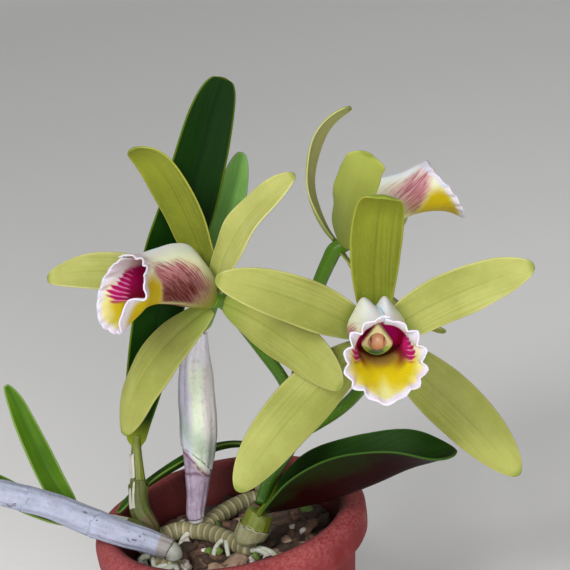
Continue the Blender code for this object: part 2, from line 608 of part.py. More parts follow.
def bark_chip(draw, place, surface):
    # A flat broken chip: a box with its corners pushed about, turned and tipped
    size = [side * draw.uniform(0.7, 1.2) / 2 for side in CHIP_SIZE]
    corners = np.array([[x * size[0], y * size[1], z * size[2]]
                        for x in (-1, 1) for y in (-1, 1) for z in (-1, 1)])
    corners *= np.array([[draw.uniform(0.72, 1.0) for _ in range(3)] for _ in range(8)])
    spin, tip, roll = draw.uniform(0, 2 * pi), draw.uniform(-0.5, 0.5), draw.uniform(-0.5, 0.5)
    about_z = np.array([[cos(spin), -sin(spin), 0], [sin(spin), cos(spin), 0], [0, 0, 1]])
    about_x = np.array([[1, 0, 0], [0, cos(tip), -sin(tip)], [0, sin(tip), cos(tip)]])
    about_y = np.array([[cos(roll), 0, sin(roll)], [0, 1, 0], [-sin(roll), 0, cos(roll)]])
    points = corners @ (about_z @ about_x @ about_y).T + place
    faces = [(0, 1, 3), (0, 3, 2), (4, 6, 7), (4, 7, 5), (0, 4, 5), (0, 5, 1),
             (2, 3, 7), (2, 7, 6), (0, 2, 6), (0, 6, 4), (1, 5, 7), (1, 7, 3)]
    return add_solid("chip", points, faces, surface)


def make_bark(surface, cutters):
    # A plug that fills the pot, with chips standing out of its top, and plain holes in it
    # for the stems, the rhizome and the roots
    top = BARK_TOP
    profile = [(inner_radius(POT_FLOOR) - 2 - GAP, POT_FLOOR + GAP),
               (inner_radius(POT_FLOOR + 2) - 2 * GAP, POT_FLOOR + 2 + GAP),
               (inner_radius(top) - 2 * GAP, top - 1.5), (inner_radius(top) - 5, top)]
    plug = turned("bark_mix", profile, surface)
    draw = random.Random(11)
    golden = pi * (3 - 5 ** 0.5)
    reach = inner_radius(top) - 8.5
    chips = []
    for turn in range(BARK_CHIPS):
        radius = reach * ((turn + 0.5) / BARK_CHIPS) ** 0.5
        place = (radius * cos(turn * golden), radius * sin(turn * golden), top + draw.uniform(-0.6, 1.6))
        chips.append(bark_chip(draw, place, surface))
    return keep_largest(cut(join([plug] + chips), cutters))


def make_plant(surfaces):
    make_blooms(surfaces)
    make_flower_stem(surfaces["stem"])
    make_leaves(surfaces["leaf"])
    for name in PSEUDOBULBS:
        bulb(name, surfaces["stem"])
    join(rhizome_pieces(surfaces["root"]))


def make_all():
    clear_scene()
    surfaces = {
        "tepal": material("tepal", (0.52, 0.55, 0.10), 0.5),
        "lip": material("lip", (0.86, 0.78, 0.72), 0.5),
        "column": material("column", (0.62, 0.60, 0.25), 0.45),
        "stem": material("stem", (0.10, 0.26, 0.04), 0.5),
        "leaf": material("leaf", (0.02, 0.07, 0.02), 0.4),
        "root": material("root", (0.42, 0.40, 0.30), 0.7),
        "bark": material("bark", (0.16, 0.08, 0.05), 0.9),
        "clay": material("clay", (0.52, 0.13, 0.11), 0.75),
    }
    make_plant(surfaces)
    cutters = rhizome_pieces(surfaces["root"], grow=GAP + 0.15)
    cutters += [bulb(name, surfaces["stem"], grow=GAP + 0.2) for name in PSEUDOBULBS]
    make_bark(surfaces["bark"], cutters)
    make_pot(surfaces["clay"])


make_all()
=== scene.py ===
import math

import bpy
import numpy as np
from mathutils import Matrix, Vector


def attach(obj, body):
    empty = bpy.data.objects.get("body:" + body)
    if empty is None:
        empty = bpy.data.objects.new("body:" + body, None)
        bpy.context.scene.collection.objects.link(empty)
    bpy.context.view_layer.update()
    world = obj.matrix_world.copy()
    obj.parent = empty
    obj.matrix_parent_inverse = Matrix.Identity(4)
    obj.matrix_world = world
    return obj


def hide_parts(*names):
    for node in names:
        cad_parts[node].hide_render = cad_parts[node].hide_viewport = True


# A cattleya orchid in its clay pot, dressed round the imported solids.
# Lengths are in millimetres until a mesh is made. +Z is up and -Y is the front.

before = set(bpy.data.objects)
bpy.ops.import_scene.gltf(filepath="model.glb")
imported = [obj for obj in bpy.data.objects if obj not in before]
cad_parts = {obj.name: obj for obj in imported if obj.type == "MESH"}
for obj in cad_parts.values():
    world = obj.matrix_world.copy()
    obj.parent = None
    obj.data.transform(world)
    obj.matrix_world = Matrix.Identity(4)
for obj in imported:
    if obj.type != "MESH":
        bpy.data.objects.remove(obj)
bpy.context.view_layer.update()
mm = 0.001
print("frame loaded:", len(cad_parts), "nodes")


# Curves and noise

def unit(vectors):
    vectors = np.asarray(vectors, float)
    return vectors / np.linalg.norm(vectors, axis=-1, keepdims=True)


def distances(points):
    # Length along a line of points
    return np.r_[0.0, np.cumsum(np.linalg.norm(np.diff(points, axis=0), axis=1))]


def smoothPath(points, steps):
    # Cubic Hermite curve through the points, read at fractions of its length
    points = np.asarray(points, float)
    reach = distances(points)
    slope = np.gradient(points, reach, axis=0)
    at = np.asarray(steps) * reach[-1]
    k = np.clip(np.searchsorted(reach, at, side="right") - 1, 0, len(points) - 2)
    span = (reach[k + 1] - reach[k])[:, None]
    t = (at - reach[k])[:, None] / span
    return ((1 + 2 * t) * (1 - t) ** 2 * points[k] + t * (1 - t) ** 2 * span * slope[k]
            + t * t * (3 - 2 * t) * points[k + 1] + t * t * (t - 1) * span * slope[k + 1])


def carriedSides(along):
    # A direction square to the path, carried along it with no twist
    side = np.cross(along[0], (0.2, -1.0, 0.1))
    sides = []
    for ahead in along:
        side = unit(side - np.dot(side, ahead) * ahead)
        sides.append(side)
    return np.array(sides)


def waveNoise(points, size, seed, count=10):
    # Smooth noise: the sum of sine waves in drawn directions, their crests about size apart
    draw = np.random.default_rng(seed)
    ways = unit(draw.normal(size=(count, 3))) * draw.uniform(0.5, 1.7, (count, 1))
    phases = draw.uniform(0, 6.28, count)
    return np.sin(np.asarray(points) @ ways.T * (2 * np.pi / size) + phases).sum(-1) / count ** 0.5


def hill(x, centre, width):
    return np.exp(-((x - centre) / width) ** 2)


def ease(x, low, high):
    # Smooth step from 0 at low to 1 at high
    t = np.clip((x - low) / (high - low), 0, 1)
    return t * t * (3 - 2 * t)


def rounded(x, start, span, least):
    # 1 up to start, then down as a quarter of an ellipse, but not below the root of least
    return np.sqrt(np.clip(1 - np.clip((x - start) / span, 0, 1) ** 2, least, 1))


def endSteps(count, crowd=0.6):
    # Steps from 0 to 1 that crowd at both ends
    x = np.linspace(0, 1, count)
    return (1 - crowd) * x + crowd * (0.5 - 0.5 * np.cos(np.pi * x))


def edgeSteps(count, crowd):
    # Steps from -1 to 1 that crowd at both ends
    x = np.linspace(-1, 1, count)
    return np.sin(np.pi / 2 * x) * crowd + x * (1 - crowd)


def turned(axis, angle):
    # A rotation about X, Y or Z, which are 0, 1 and 2
    c, s = math.cos(angle), math.sin(angle)
    return np.roll([[1, 0, 0], [0, c, -s], [0, s, c]], axis, axis=(0, 1))


def around(sides):
    return np.linspace(0, 2 * np.pi, sides, endpoint=False)


def stacked(*parts):
    # Points from parts that broadcast together
    return np.stack(np.broadcast_arrays(*parts), -1)


def bladeHalf(u, powers, width, foot, tip):
    # Half width along a blade: a swell with one peak, set by the powers at its root and its
    # tip, joined in squares with a foot that fades and a tip that stays
    rootPower, tipPower = powers
    peak = rootPower / (rootPower + tipPower)
    swell = (u / peak) ** rootPower * ((1 - u) / (1 - peak)) ** tipPower
    return np.sqrt((width / 2 * swell) ** 2 + foot ** 2 + tip ** 2)


# Meshes

def addMesh(name, points, faces, scale=mm):
    mesh = bpy.data.meshes.new(name)
    mesh.from_pydata((np.asarray(points) * scale).tolist(), [], faces)
    made = bpy.data.objects.new(name, mesh)
    bpy.context.scene.collection.objects.link(made)
    return made


def addPiece(name, nodes, surface, points, faces, place, side=None, across=None):
    # place, across and side are read by the materials
    piece = addMesh(name, points, faces)
    mesh = piece.data
    for key, kind, domain, field, values in (("place", "FLOAT_VECTOR", "POINT", "vector", place),
                                             ("across", "FLOAT", "POINT", "value", across),
                                             ("side", "FLOAT", "FACE", "value", side)):
        if values is not None:
            layer = mesh.attributes.new(key, kind, domain)
            layer.data.foreach_set(field, np.asarray(values, np.float32).ravel())
    mesh.materials.append(surface.material)
    mesh.shade_smooth()
    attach(piece, "root")
    if nodes:
        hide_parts(*nodes)
    return piece


def addBlade(name, nodes, surface, middle, thick, rim, place, across=None):
    # Two skins, half the thickness either side of a grid, that meet round its border. rim is
    # the distance from the border, where the thickness ends as a quarter of an ellipse does
    normal = unit(np.cross(np.gradient(middle, axis=0), np.gradient(middle, axis=1)))
    inward = np.clip(rim / (thick * 0.62), 0, 1)
    offset = normal * (thick / 2 * np.sqrt(1 - (1 - inward) ** 2))[..., None]
    rows, cols = rim.shape
    front = np.arange(rows * cols).reshape(rows, cols)
    inner = np.zeros((rows, cols), bool)
    inner[1:-1, 1:-1] = True
    back = front.copy()
    back[inner] = rows * cols + np.arange(inner.sum())
    frontQuads, backQuads = (
        np.stack([index[:-1, :-1], index[1:, :-1], index[1:, 1:], index[:-1, 1:]], -1).reshape(-1, 4)
        for index in (front, back))
    faces = np.concatenate([frontQuads, backQuads[:, ::-1]]).tolist()
    points = np.concatenate([(middle + offset).reshape(-1, 3), (middle - offset)[inner]])
    place = np.concatenate([place.reshape(-1, 3), place[inner]])
    if across is not None:
        across = np.concatenate([across.ravel(), across[inner]])
    side = np.repeat([0.0, 1.0], (rows - 1) * (cols - 1))
    addPiece(name, nodes, surface, points, faces, place, side, across)


def ringFaces(count, sides, start=0):
    # Quads between rings of points, and a cap at each end
    index = np.arange(count * sides).reshape(count, sides) + start
    low, high = index[:-1], index[1:]
    lowNext, highNext = np.roll(low, -1, axis=1), np.roll(high, -1, axis=1)
    faces = np.stack([low, lowNext, highNext, high], axis=-1).reshape(-1, 4).tolist()
    return faces + [index[0][::-1].tolist(), index[-1].tolist()]


def tubeRings(path, radii, sides):
    # Rings square to a path. radii is one number a ring, or one for each of its points
    path = np.asarray(path, float)
    along = unit(np.gradient(path, distances(path), axis=0))
    aside = carriedSides(along)[:, None]
    rise = np.cross(along[:, None], aside)
    turn = around(sides)[None, :, None]
    radii = np.asarray(radii, float).reshape(len(path), -1)[..., None]
    return path[:, None] + radii * (np.cos(turn) * aside + np.sin(turn) * rise)


def lathe(profile, sides, x=0.0, y=0.0):
    # Rings round an upright axis, from pairs of radius and height
    radius, height = np.array(profile, float).T[..., None]
    turn = around(sides)
    return stacked(x + radius * np.cos(turn), y + radius * np.sin(turn), height)


class Bundle:
    # Gathers several closed skins into one mesh
    def __init__(self):
        self.points, self.faces, self.place, self.count = [], [], [], 0

    def rings(self, rings, place=None):
        count, sides = rings.shape[:2]
        self.faces += ringFaces(count, sides, self.count)
        self.points.append(rings.reshape(-1, 3))
        if place is None:
            place = stacked(np.linspace(0, 1, count)[:, None], around(sides) / (2 * np.pi), 0.0)
        self.place.append(place.reshape(-1, 3))
        self.count += count * sides

    def make(self, name, nodes, slot, surface):
        return addPiece(name, nodes, surface, np.concatenate(self.points), self.faces,
                        np.concatenate(self.place))


# Materials

class Link:
    # A node's output. Python's operators on it add Math nodes
    def __init__(self, surface, socket):
        self.surface, self.socket = surface, socket

    def math(self, operation, *others):
        return self.surface.node("ShaderNodeMath", {"operation": operation}, dict(enumerate((self,) + others)))

    def __add__(self, other):
        return self.math("ADD", other)

    def __sub__(self, other):
        return self.math("SUBTRACT", other)

    def __mul__(self, other):
        return self.math("MULTIPLY", other)

    def __truediv__(self, other):
        return self.math("DIVIDE", other)

    def __rsub__(self, other):
        return self.surface.node("ShaderNodeMath", {"operation": "SUBTRACT"}, {0: other, 1: self})

    def __abs__(self):
        return self.math("ABSOLUTE")

    def hill(self, centre, width):
        offset = (self - centre) / width
        return (offset * offset * -1).math("EXPONENT")

    def ease(self, low, high):
        return self.surface.node("ShaderNodeMapRange", {"interpolation_type": "SMOOTHSTEP"},
                                 {0: self, 1: low, 2: high, 3: 0.0, 4: 1.0})

    def fade(self, low, high):
        return 1 - self.ease(low, high)

    def clip(self):
        return self.math("MINIMUM", 1.0).math("MAXIMUM", 0.0)


class Surface:
    # A Principled material and the nodes that feed it
    def __init__(self, name, **fixed):
        self.material = bpy.data.materials.new(name)
        self.material.use_nodes = True
        self.tree = self.material.node_tree
        self.shader = self.tree.nodes["Principled BSDF"]
        for socket, value in fixed.items():
            self.feed(socket.replace("_", " "), value)

    def node(self, kind, settings=None, inputs=None, output=0):
        made = self.tree.nodes.new(kind)
        for key, value in (settings or {}).items():
            setattr(made, key, value)
        for key, value in (inputs or {}).items():
            self.plug(made.inputs[key], value)
        return Link(self, made.outputs[output])

    def plug(self, socket, value):
        if isinstance(value, Link):
            self.tree.links.new(value.socket, socket)
        elif socket.type == "RGBA" and len(value) == 3:
            socket.default_value = (*value, 1.0)
        else:
            socket.default_value = value

    def feed(self, socket, value):
        self.plug(self.shader.inputs[socket], value)

    def spot(self):
        # Where a point is, in metres
        return self.node("ShaderNodeTexCoord", output=3)

    def parts(self, whole):
        return [self.node("ShaderNodeSeparateXYZ", None, {0: whole}, part) for part in range(3)]

    def vector(self, name):
        # The three numbers of a vector attribute
        return self.parts(self.node("ShaderNodeAttribute", {"attribute_name": name}, output=1))

    def number(self, name):
        return self.node("ShaderNodeAttribute", {"attribute_name": name}, output=2)

    def noise(self, where, scale, detail=2.0, roughness=0.5):
        return self.node("ShaderNodeTexNoise", None,
                         {"Vector": where, "Scale": scale, "Detail": detail, "Roughness": roughness})

    def mottle(self, scale, detail=2.0, roughness=0.5):
        # Noise of that many waves a metre
        return self.noise(self.spot(), scale, detail, roughness)

    def streaks(self, x, y, z, detail=2.0, roughness=0.5):
        return self.noise(self.node("ShaderNodeCombineXYZ", None, {0: x, 1: y, 2: z}), 1.0, detail, roughness)

    def mix(self, share, first, second):
        return self.node("ShaderNodeMix", {"data_type": "RGBA"}, {0: share, 6: first, 7: second}, 2)

    def layers(self, colour, *layers):
        # Colours laid over one another, each by its share
        for share, over in layers:
            colour = self.mix(share, colour, over)
        return colour

    def paint(self, *layers):
        self.feed("Base Color", self.layers(*layers))

    def bump(self, height, distance):
        # Height of 1 stands out by the distance, in millimetres
        self.feed("Normal", self.node("ShaderNodeBump", None, {"Height": height, "Distance": distance * mm}))


def shaded(colour, share):
    return tuple(share * part for part in colour)


# Blooms

blooms = {
    "front": {"centre": (58.4, -30.0, 145.3), "turn": 0, "tilt": 8, "roll": 10, "size": 1.0, "lean": -1.6},
    "left": {"centre": (8.0, 0.0, 157.0), "turn": -45, "tilt": 22, "roll": -22, "size": 1.08, "lean": 0.0},
    "back": {"centre": (54.9, 24.0, 159.8), "turn": 90, "tilt": 26, "roll": 12, "size": 1.0, "lean": 0.0},
}

# Width peak (root and tip powers), cup, half widths of claw and tip, base, margin wave
tepalKinds = {
    "dorsal": {"peak": (0.5, 0.34), "cup": 0.16, "claw": 2.4, "tip": 0.7, "base": (2.9, -2.0), "wave": 0.25},
    "petal": {"peak": (0.45, 0.5), "cup": 0.1, "claw": 1.7, "tip": 0.7, "base": (3.5, -0.4), "wave": 0.8},
    "lateral": {"peak": (0.55, 0.55), "cup": -0.2, "claw": 2.3, "tip": 0.6, "base": (3.5, -2.0), "wave": 0.3},
}

# kind, angle, length, width, sweep, bend, hook, sickle, twist (degrees), and a tone from
# 0, the deepest green, to 1, the palest: partly the tepal's own colour and partly painted
# shade and light, deeper on tepals that face away from the light
tepals = {
    ("front", "sepal_dorsal"): ("dorsal", 91, 56, 16.6, 4, 24, 80, -11, 0, 0.1),
    ("front", "petal_right"): ("petal", 33, 54, 15.6, 22, -10, 0, -21, -6, 0.8),
    ("front", "petal_left"): ("petal", 151, 57, 15.5, 26, -12, 0, 23, 6, 0.6),
    ("front", "sepal_right"): ("lateral", -42, 62, 18.0, 4, -4, 10, -11, 0, 0.5),
    ("front", "sepal_left"): ("lateral", -134, 65, 18.5, -9, 16, 10, 17, 0, 0.6),
    ("left", "sepal_dorsal"): ("dorsal", 88, 58, 16.5, 12, 20, 60, 2, 0, 0.1),
    ("left", "petal_right"): ("petal", 36, 53, 12.6, 26, -50, 0, -21, -6, 1.0),
    ("left", "petal_left"): ("petal", 150, 62, 13.5, 30, -24, 0, 42, 6, 0.9),
    ("left", "sepal_right"): ("lateral", -38, 57, 17.5, 6, -20, 10, -28, 0, 0.6),
    ("left", "sepal_left"): ("lateral", -148, 59, 17.0, 34, -60, 10, 16, 0, 0.6),
    ("back", "sepal_dorsal"): ("dorsal", 72, 55, 13.5, -11, 96, 30, 0, 0, 1.0),
    ("back", "petal_right"): ("petal", -8, 54, 15.0, 18, 8, 0, 0, -6, 0.7),
    ("back", "petal_left"): ("petal", 150, 51.5, 19.0, 27, 14, 0, -6, 44, 0.5),
    ("back", "sepal_right"): ("lateral", -50, 54, 16.0, -6, 10, 10, 0, 0, 0.5),
    ("back", "sepal_left"): ("lateral", -129, 50, 15.0, 13, 10, 10, 0, 0, 0.5),
}

# Uneven margins: the side, by how much it grows or shrinks, where along it and how far
uneven = {("back", "petal_left"): [(-1, -0.2, 0.42, 0.3), (-1, 0.2, 0.93, 0.07), (1, -0.18, 0.62, 0.2),
                                   (1, 0.35, 0.93, 0.05), (1, -0.35, 0.99, 0.022)]}

# The first three colours go from the deepest tone to the palest
tepalLook = {
    "rows": 56, "cols": 25, "thick": (1.05, 0.6), "groove": 0.3,
    "deep": ((0.07, 0.092, 0.001), (0.25, 0.27, 0.05)),
    "light": ((0.17, 0.195, 0.001), (0.45, 0.45, 0.15)),
    "pale": ((0.36, 0.38, 0.04), (0.58, 0.56, 0.29)),
    "claw": (0.22, 0.3, 0.04), "back": (0.38, 0.45, 0.07), "tip": (0.11, 0.17, 0.008),
}


def bloomAxes(bloom):
    # Right, up and front of a bloom, as seen by someone it faces
    turn, tilt, roll = (math.radians(bloom[key]) for key in ("turn", "tilt", "roll"))
    right, back, up = (turned(2, turn) @ turned(0, -tilt) @ turned(1, roll)).T
    return right, up, -back


def tepalSurface(toneAndShade):
    # Yellow-green with paler patches, greener at the claw and the tip, deeper along the midrib,
    # paler along the margin, with faint nerves that run with the blade and a fine grain. Painted
    # shade darkens the body a little away from the midrib, painted light brightens deep-toned
    # tepals towards the tip, and the back face is a paler green, partly its own colour and
    # partly painted light
    deep, light, pale = (tuple((1 - toneAndShade) * np.array(first) + toneAndShade * np.array(last))
                         for first, last in (tepalLook[key] for key in ("deep", "light", "pale")))
    skin = Surface(f"tepal{int(toneAndShade * 10)}", Roughness=0.5, Subsurface_Weight=0.25, Subsurface_Scale=0.002,
                   Specular_IOR_Level=0.16)
    u, v, rim = skin.vector("place")
    across, back = skin.number("across"), skin.number("side")
    nerve = skin.streaks(across * 1.5, u * 1.3, v * 0.5, 3.0, 0.55)
    blotch, freckle, grain = skin.mottle(75.0, 3.0), skin.mottle(700.0, 3.0, 0.6), skin.mottle(2600.0)
    # Painted shade and light: the body darkens a little away from the midrib, as a curved blade does in shade, and
    # deep-toned tepals grow lighter towards the lit tip
    body = blotch * 1.1 - abs(v) * 0.1 + u * 0.1 - 0.1 + u.ease(0.45, 1.0) * (1 - toneAndShade) * 0.9
    skin.paint(
        deep,
        (body.clip(), light),
        ((1 - u).ease(0.7, 1.0) * 0.6, tepalLook["claw"]),
        (across.hill(0.0, 0.5) * u.fade(0.6, 1.0) * 0.4, deep),
        ((nerve - 0.5).ease(0.0, 0.25) * 0.16, pale),
        ((0.5 - nerve).ease(0.0, 0.25) * 0.22, deep),
        ((freckle - 0.5).ease(0.0, 0.3) * 0.12, pale),
        # Back face: a paler green, partly its own colour and partly painted light that lifts its shade
        (back * 0.5, tepalLook["back"]),
        (rim.fade(0.05, 0.8) * (0.45 - back * 0.3), pale),
        (u.ease(0.955, 0.995) * 0.6, tepalLook["tip"]))
    skin.feed("Roughness", grain * 0.2 + 0.42)
    skin.bump(nerve * 0.45 + grain * 0.2 + freckle * 0.15, 0.2)
    return skin


tones = {toneAndShade: tepalSurface(toneAndShade) for toneAndShade in sorted({tepal[-1] for tepal in tepals.values()})}


def makeTepal(name, node, bloom, tepal, growth, seed):
    # The midrib runs out from the middle of the bloom with a slope that grows along it. Across
    # it the blade is cupped by the square of the distance, grooved at the midrib and waved
    # at the margins
    kind, angle, length, width, sweep, bend, hook, sickle, twist, toneAndShade = tepal
    shape, look = tepalKinds[kind], tepalLook
    right, up, front = bloomAxes(bloom)
    angle = math.radians(angle)
    out = math.cos(angle) * right + math.sin(angle) * up
    aside = -math.sin(angle) * right + math.cos(angle) * up
    u = endSteps(look["rows"])
    slope = (np.radians(sweep) + np.radians(bend) * u + np.radians(hook) * u ** 6)[:, None]
    curve = (np.radians(sickle) * (u - 0.3))[:, None]
    spin = (np.radians(twist) * u)[:, None]
    along = np.cos(slope) * (np.cos(curve) * out + np.sin(curve) * aside) + np.sin(slope) * front
    flat = np.cos(curve) * aside - np.sin(curve) * out
    face = np.cross(along, flat)
    acrossWay = np.cos(spin) * flat + np.sin(spin) * face
    rise = np.cos(spin) * face - np.sin(spin) * flat
    root = np.array(bloom["centre"]) + shape["base"][0] * out + shape["base"][1] * front
    steps = np.diff(u)[:, None] * length * (along[1:] + along[:-1]) / 2
    midrib = root + np.concatenate([np.zeros((1, 3)), np.cumsum(steps, axis=0)])
    half = bladeHalf(u, shape["peak"], width, shape["claw"] * (1 - u) ** 3, shape["tip"])
    half = (half * (1 + 0.012 * waveNoise(stacked(u * 30, 0.0, 0.0), 9.0, seed)))[:, None]
    v = edgeSteps(look["cols"], 0.75)
    reach = half * v
    for side, size, at, spread in growth:
        reach = reach * np.where(v * side > 0, 1 + size * hill(u, at, spread)[:, None], 1)
    u = u[:, None]
    draw = np.random.default_rng(seed)
    phase = draw.uniform(0, 6.28, 2)
    near = np.sin(u * draw.uniform(12, 17) + phase[0])
    far = np.sin(u * draw.uniform(12, 17) + phase[1])
    envelope = np.sin(np.pi * u ** 0.8) ** 0.7
    lift = shape["cup"] * half * v ** 2 + shape["wave"] * envelope * np.abs(v) ** 3 * np.where(v < 0, near, far)
    lift = lift - look["groove"] * hill(reach, 0, 0.9) * (1 - u ** 3)
    middle = midrib[:, None] + reach[..., None] * acrossWay[:, None] + lift[..., None] * rise[:, None]
    thick = look["thick"][0] + (look["thick"][1] - look["thick"][0]) * np.abs(v)
    rim = np.minimum(half * (1 - np.abs(v)), np.minimum(u, 1 - u) * length)
    addBlade(name, [node], tones[toneAndShade], middle, thick, rim, stacked(u, v, rim), reach)


for number, ((place, part), tepal) in enumerate(tepals.items()):
    growth = uneven.get((place, part), [])
    makeTepal(f"{place}_{part}", f"bloom_{place}_{part}", blooms[place], tepal, growth, 40 + number)
print("petals and sepals made")


# Lips. Lines along the floor, the side and the roof: distance forward, then height or half
# width. near runs the edge forward and curl lifts it: by how much, the angle round, the
# spread and where it starts. belly drops the lip below a curl. smooth is where the ruffles
# start, calm the angle, spread and share by which they fade, and lap the side whose margin
# lies on top. The look says where the colours lie, with round 0 at the floor and 1 at the
# seam, and along 0 at the root and 1 at the edge. deep is the share of bright magenta in the
# throat, which is painted light: it stands in for light shining through the walls into the
# shaded throat
lips = {
    "front": {
        "floor": [(1.4, -3.0), (8, -3.6), (16, -2.0), (24, -1.6), (31, -3.6), (37, -7.4), (42.3, -11.0)],
        "roof": [(1.4, 3.2), (5, 9.8), (9.5, 13.6), (14, 14.0), (22, 12.6), (28, 11.5), (31.5, 12.2), (34, 13.9)],
        "hump": 2.5, "humpStep": 0.36, "humpSkew": 7, "shift": -0.9, "vee": 1.6, "calm": (0.0, 0.42, 0.8),
        "ruffle": 1.1, "ruffles": 14, "phase": 68, "ragged": 0.08,
        "look": {"patch": (0.33, 0.9, 0.88), "deep": 1.0, "yellow": (0.5, 0.58, 0.98),
                 "band": 2.9, "outerBand": 2.6, "flush": (0.12, 0.4, 0.34, 0.2), "front": (0.47, 0.55)}},
    "left": {
        "floor": [(1.4, -2.8), (8, -1.8), (16, -1.0), (24, -1.2), (31, -3.3), (36.5, -6.6), (41, -10.4)],
        "roof": [(1.4, 3.2), (5.2, 10.0), (9.2, 15.2), (15, 16.2), (22, 14.8), (29, 12.8), (35, 12.4)],
        "humpStep": 0.28, "near": [(2.6, 1.6, 0.35, 0.6), (3.8, 0.4, 0.35, 0.8), (-1.1, -1.5, 1.2, 0.6)],
        "curl": [(5.2, 0.62, 0.36, 0.8)], "belly": [(1.6, 0.33, 0.4, 0.93, 0.1)], "lap": 1, "calm": (1.2, 0.9, 0.7),
        "ruffle": 0.55, "ragged": 0.14,
        "look": {"patch": (0.32, 0.76, 0.9), "deep": 0.1, "yellow": (0.46, 0.68, 0.96),
                 "band": 2.8, "outerBand": 4.8, "flush": (0.04, 0.36, 0.34, 0.14), "front": (0.48, 0.62)}},
    "back": {
        "floor": [(1.4, -3.4), (8, -4.6), (16, -4.4), (24, -4.6), (31, -7.4), (36.6, -12.0), (39.8, -16.0)],
        "roof": [(1.4, 3.2), (5, 9.8), (9.5, 13.6), (15, 14.2), (22, 11.9), (29, 8.9), (39.6, 6.8)],
        "humpStep": 0.3, "near": [(3.4, -1.5, 0.9, 0.6), (-1.2, 0.0, 0.3, 0.8)], "calm": (0.0, 1.0, 0.85),
        "ruffle": 0.5, "ragged": 0.12, "smooth": 0.9,
        "look": {"patch": (0.34, 0.8, 0.78), "deep": 0.5, "yellow": (0.5, 0.62, 0.92),
                 "band": 5.0, "outerBand": 2.6, "flush": (0.03, 0.48, 0.34, 0.56), "front": (0.49, 0.66)}},
}
# What holds for every lip that doesn't say otherwise
lipShape = {
    "side": [(1.4, 3.4), (5, 7.2), (11, 8.9), (20, 8.2), (27, 8.2), (33, 9.6), (38, 12.3)],
    "hump": 1.4, "humpSkew": 0, "shift": 0.0, "vee": 0.8, "near": [], "curl": [], "belly": [], "lap": -1,
    "ruffles": 16, "phase": 30, "smooth": 0.88,
    "seam": 180, "overlap": 8, "thick": 0.62, "rows": 64, "cols": 241, "humpAt": 157, "grooveDepth": 2.0,
}
lipPaint = {
    "white": (0.58, 0.55, 0.63), "floor": (0.6, 0.56, 0.22), "lobes": (0.6, 0.56, 0.62),
    "yellow": (0.5, 0.42, 0.003), "midline": (0.56, 0.57, 0.22), "throat": (0.17, 0.1, 0.004),
    "magenta": ((0.16, 0.003, 0.028), (0.34, 0.004, 0.1)), "paintedGlow": (0.8, 0.01, 0.25),
    "between": (0.56, 0.18, 0.37), "maroon": (0.13, 0.004, 0.01),
    "below": (0.56, 0.54, 0.22), "above": (0.7, 0.68, 0.5), "ridge": (0.7, 0.67, 0.74),
    "foot": (0.17, 0.19, 0.01), "flush": (0.44, 0.16, 0.22), "vein": (0.22, 0.03, 0.05),
    "brown": (0.075, 0.007, 0.002), "gold": (0.44, 0.34, 0.003),
}


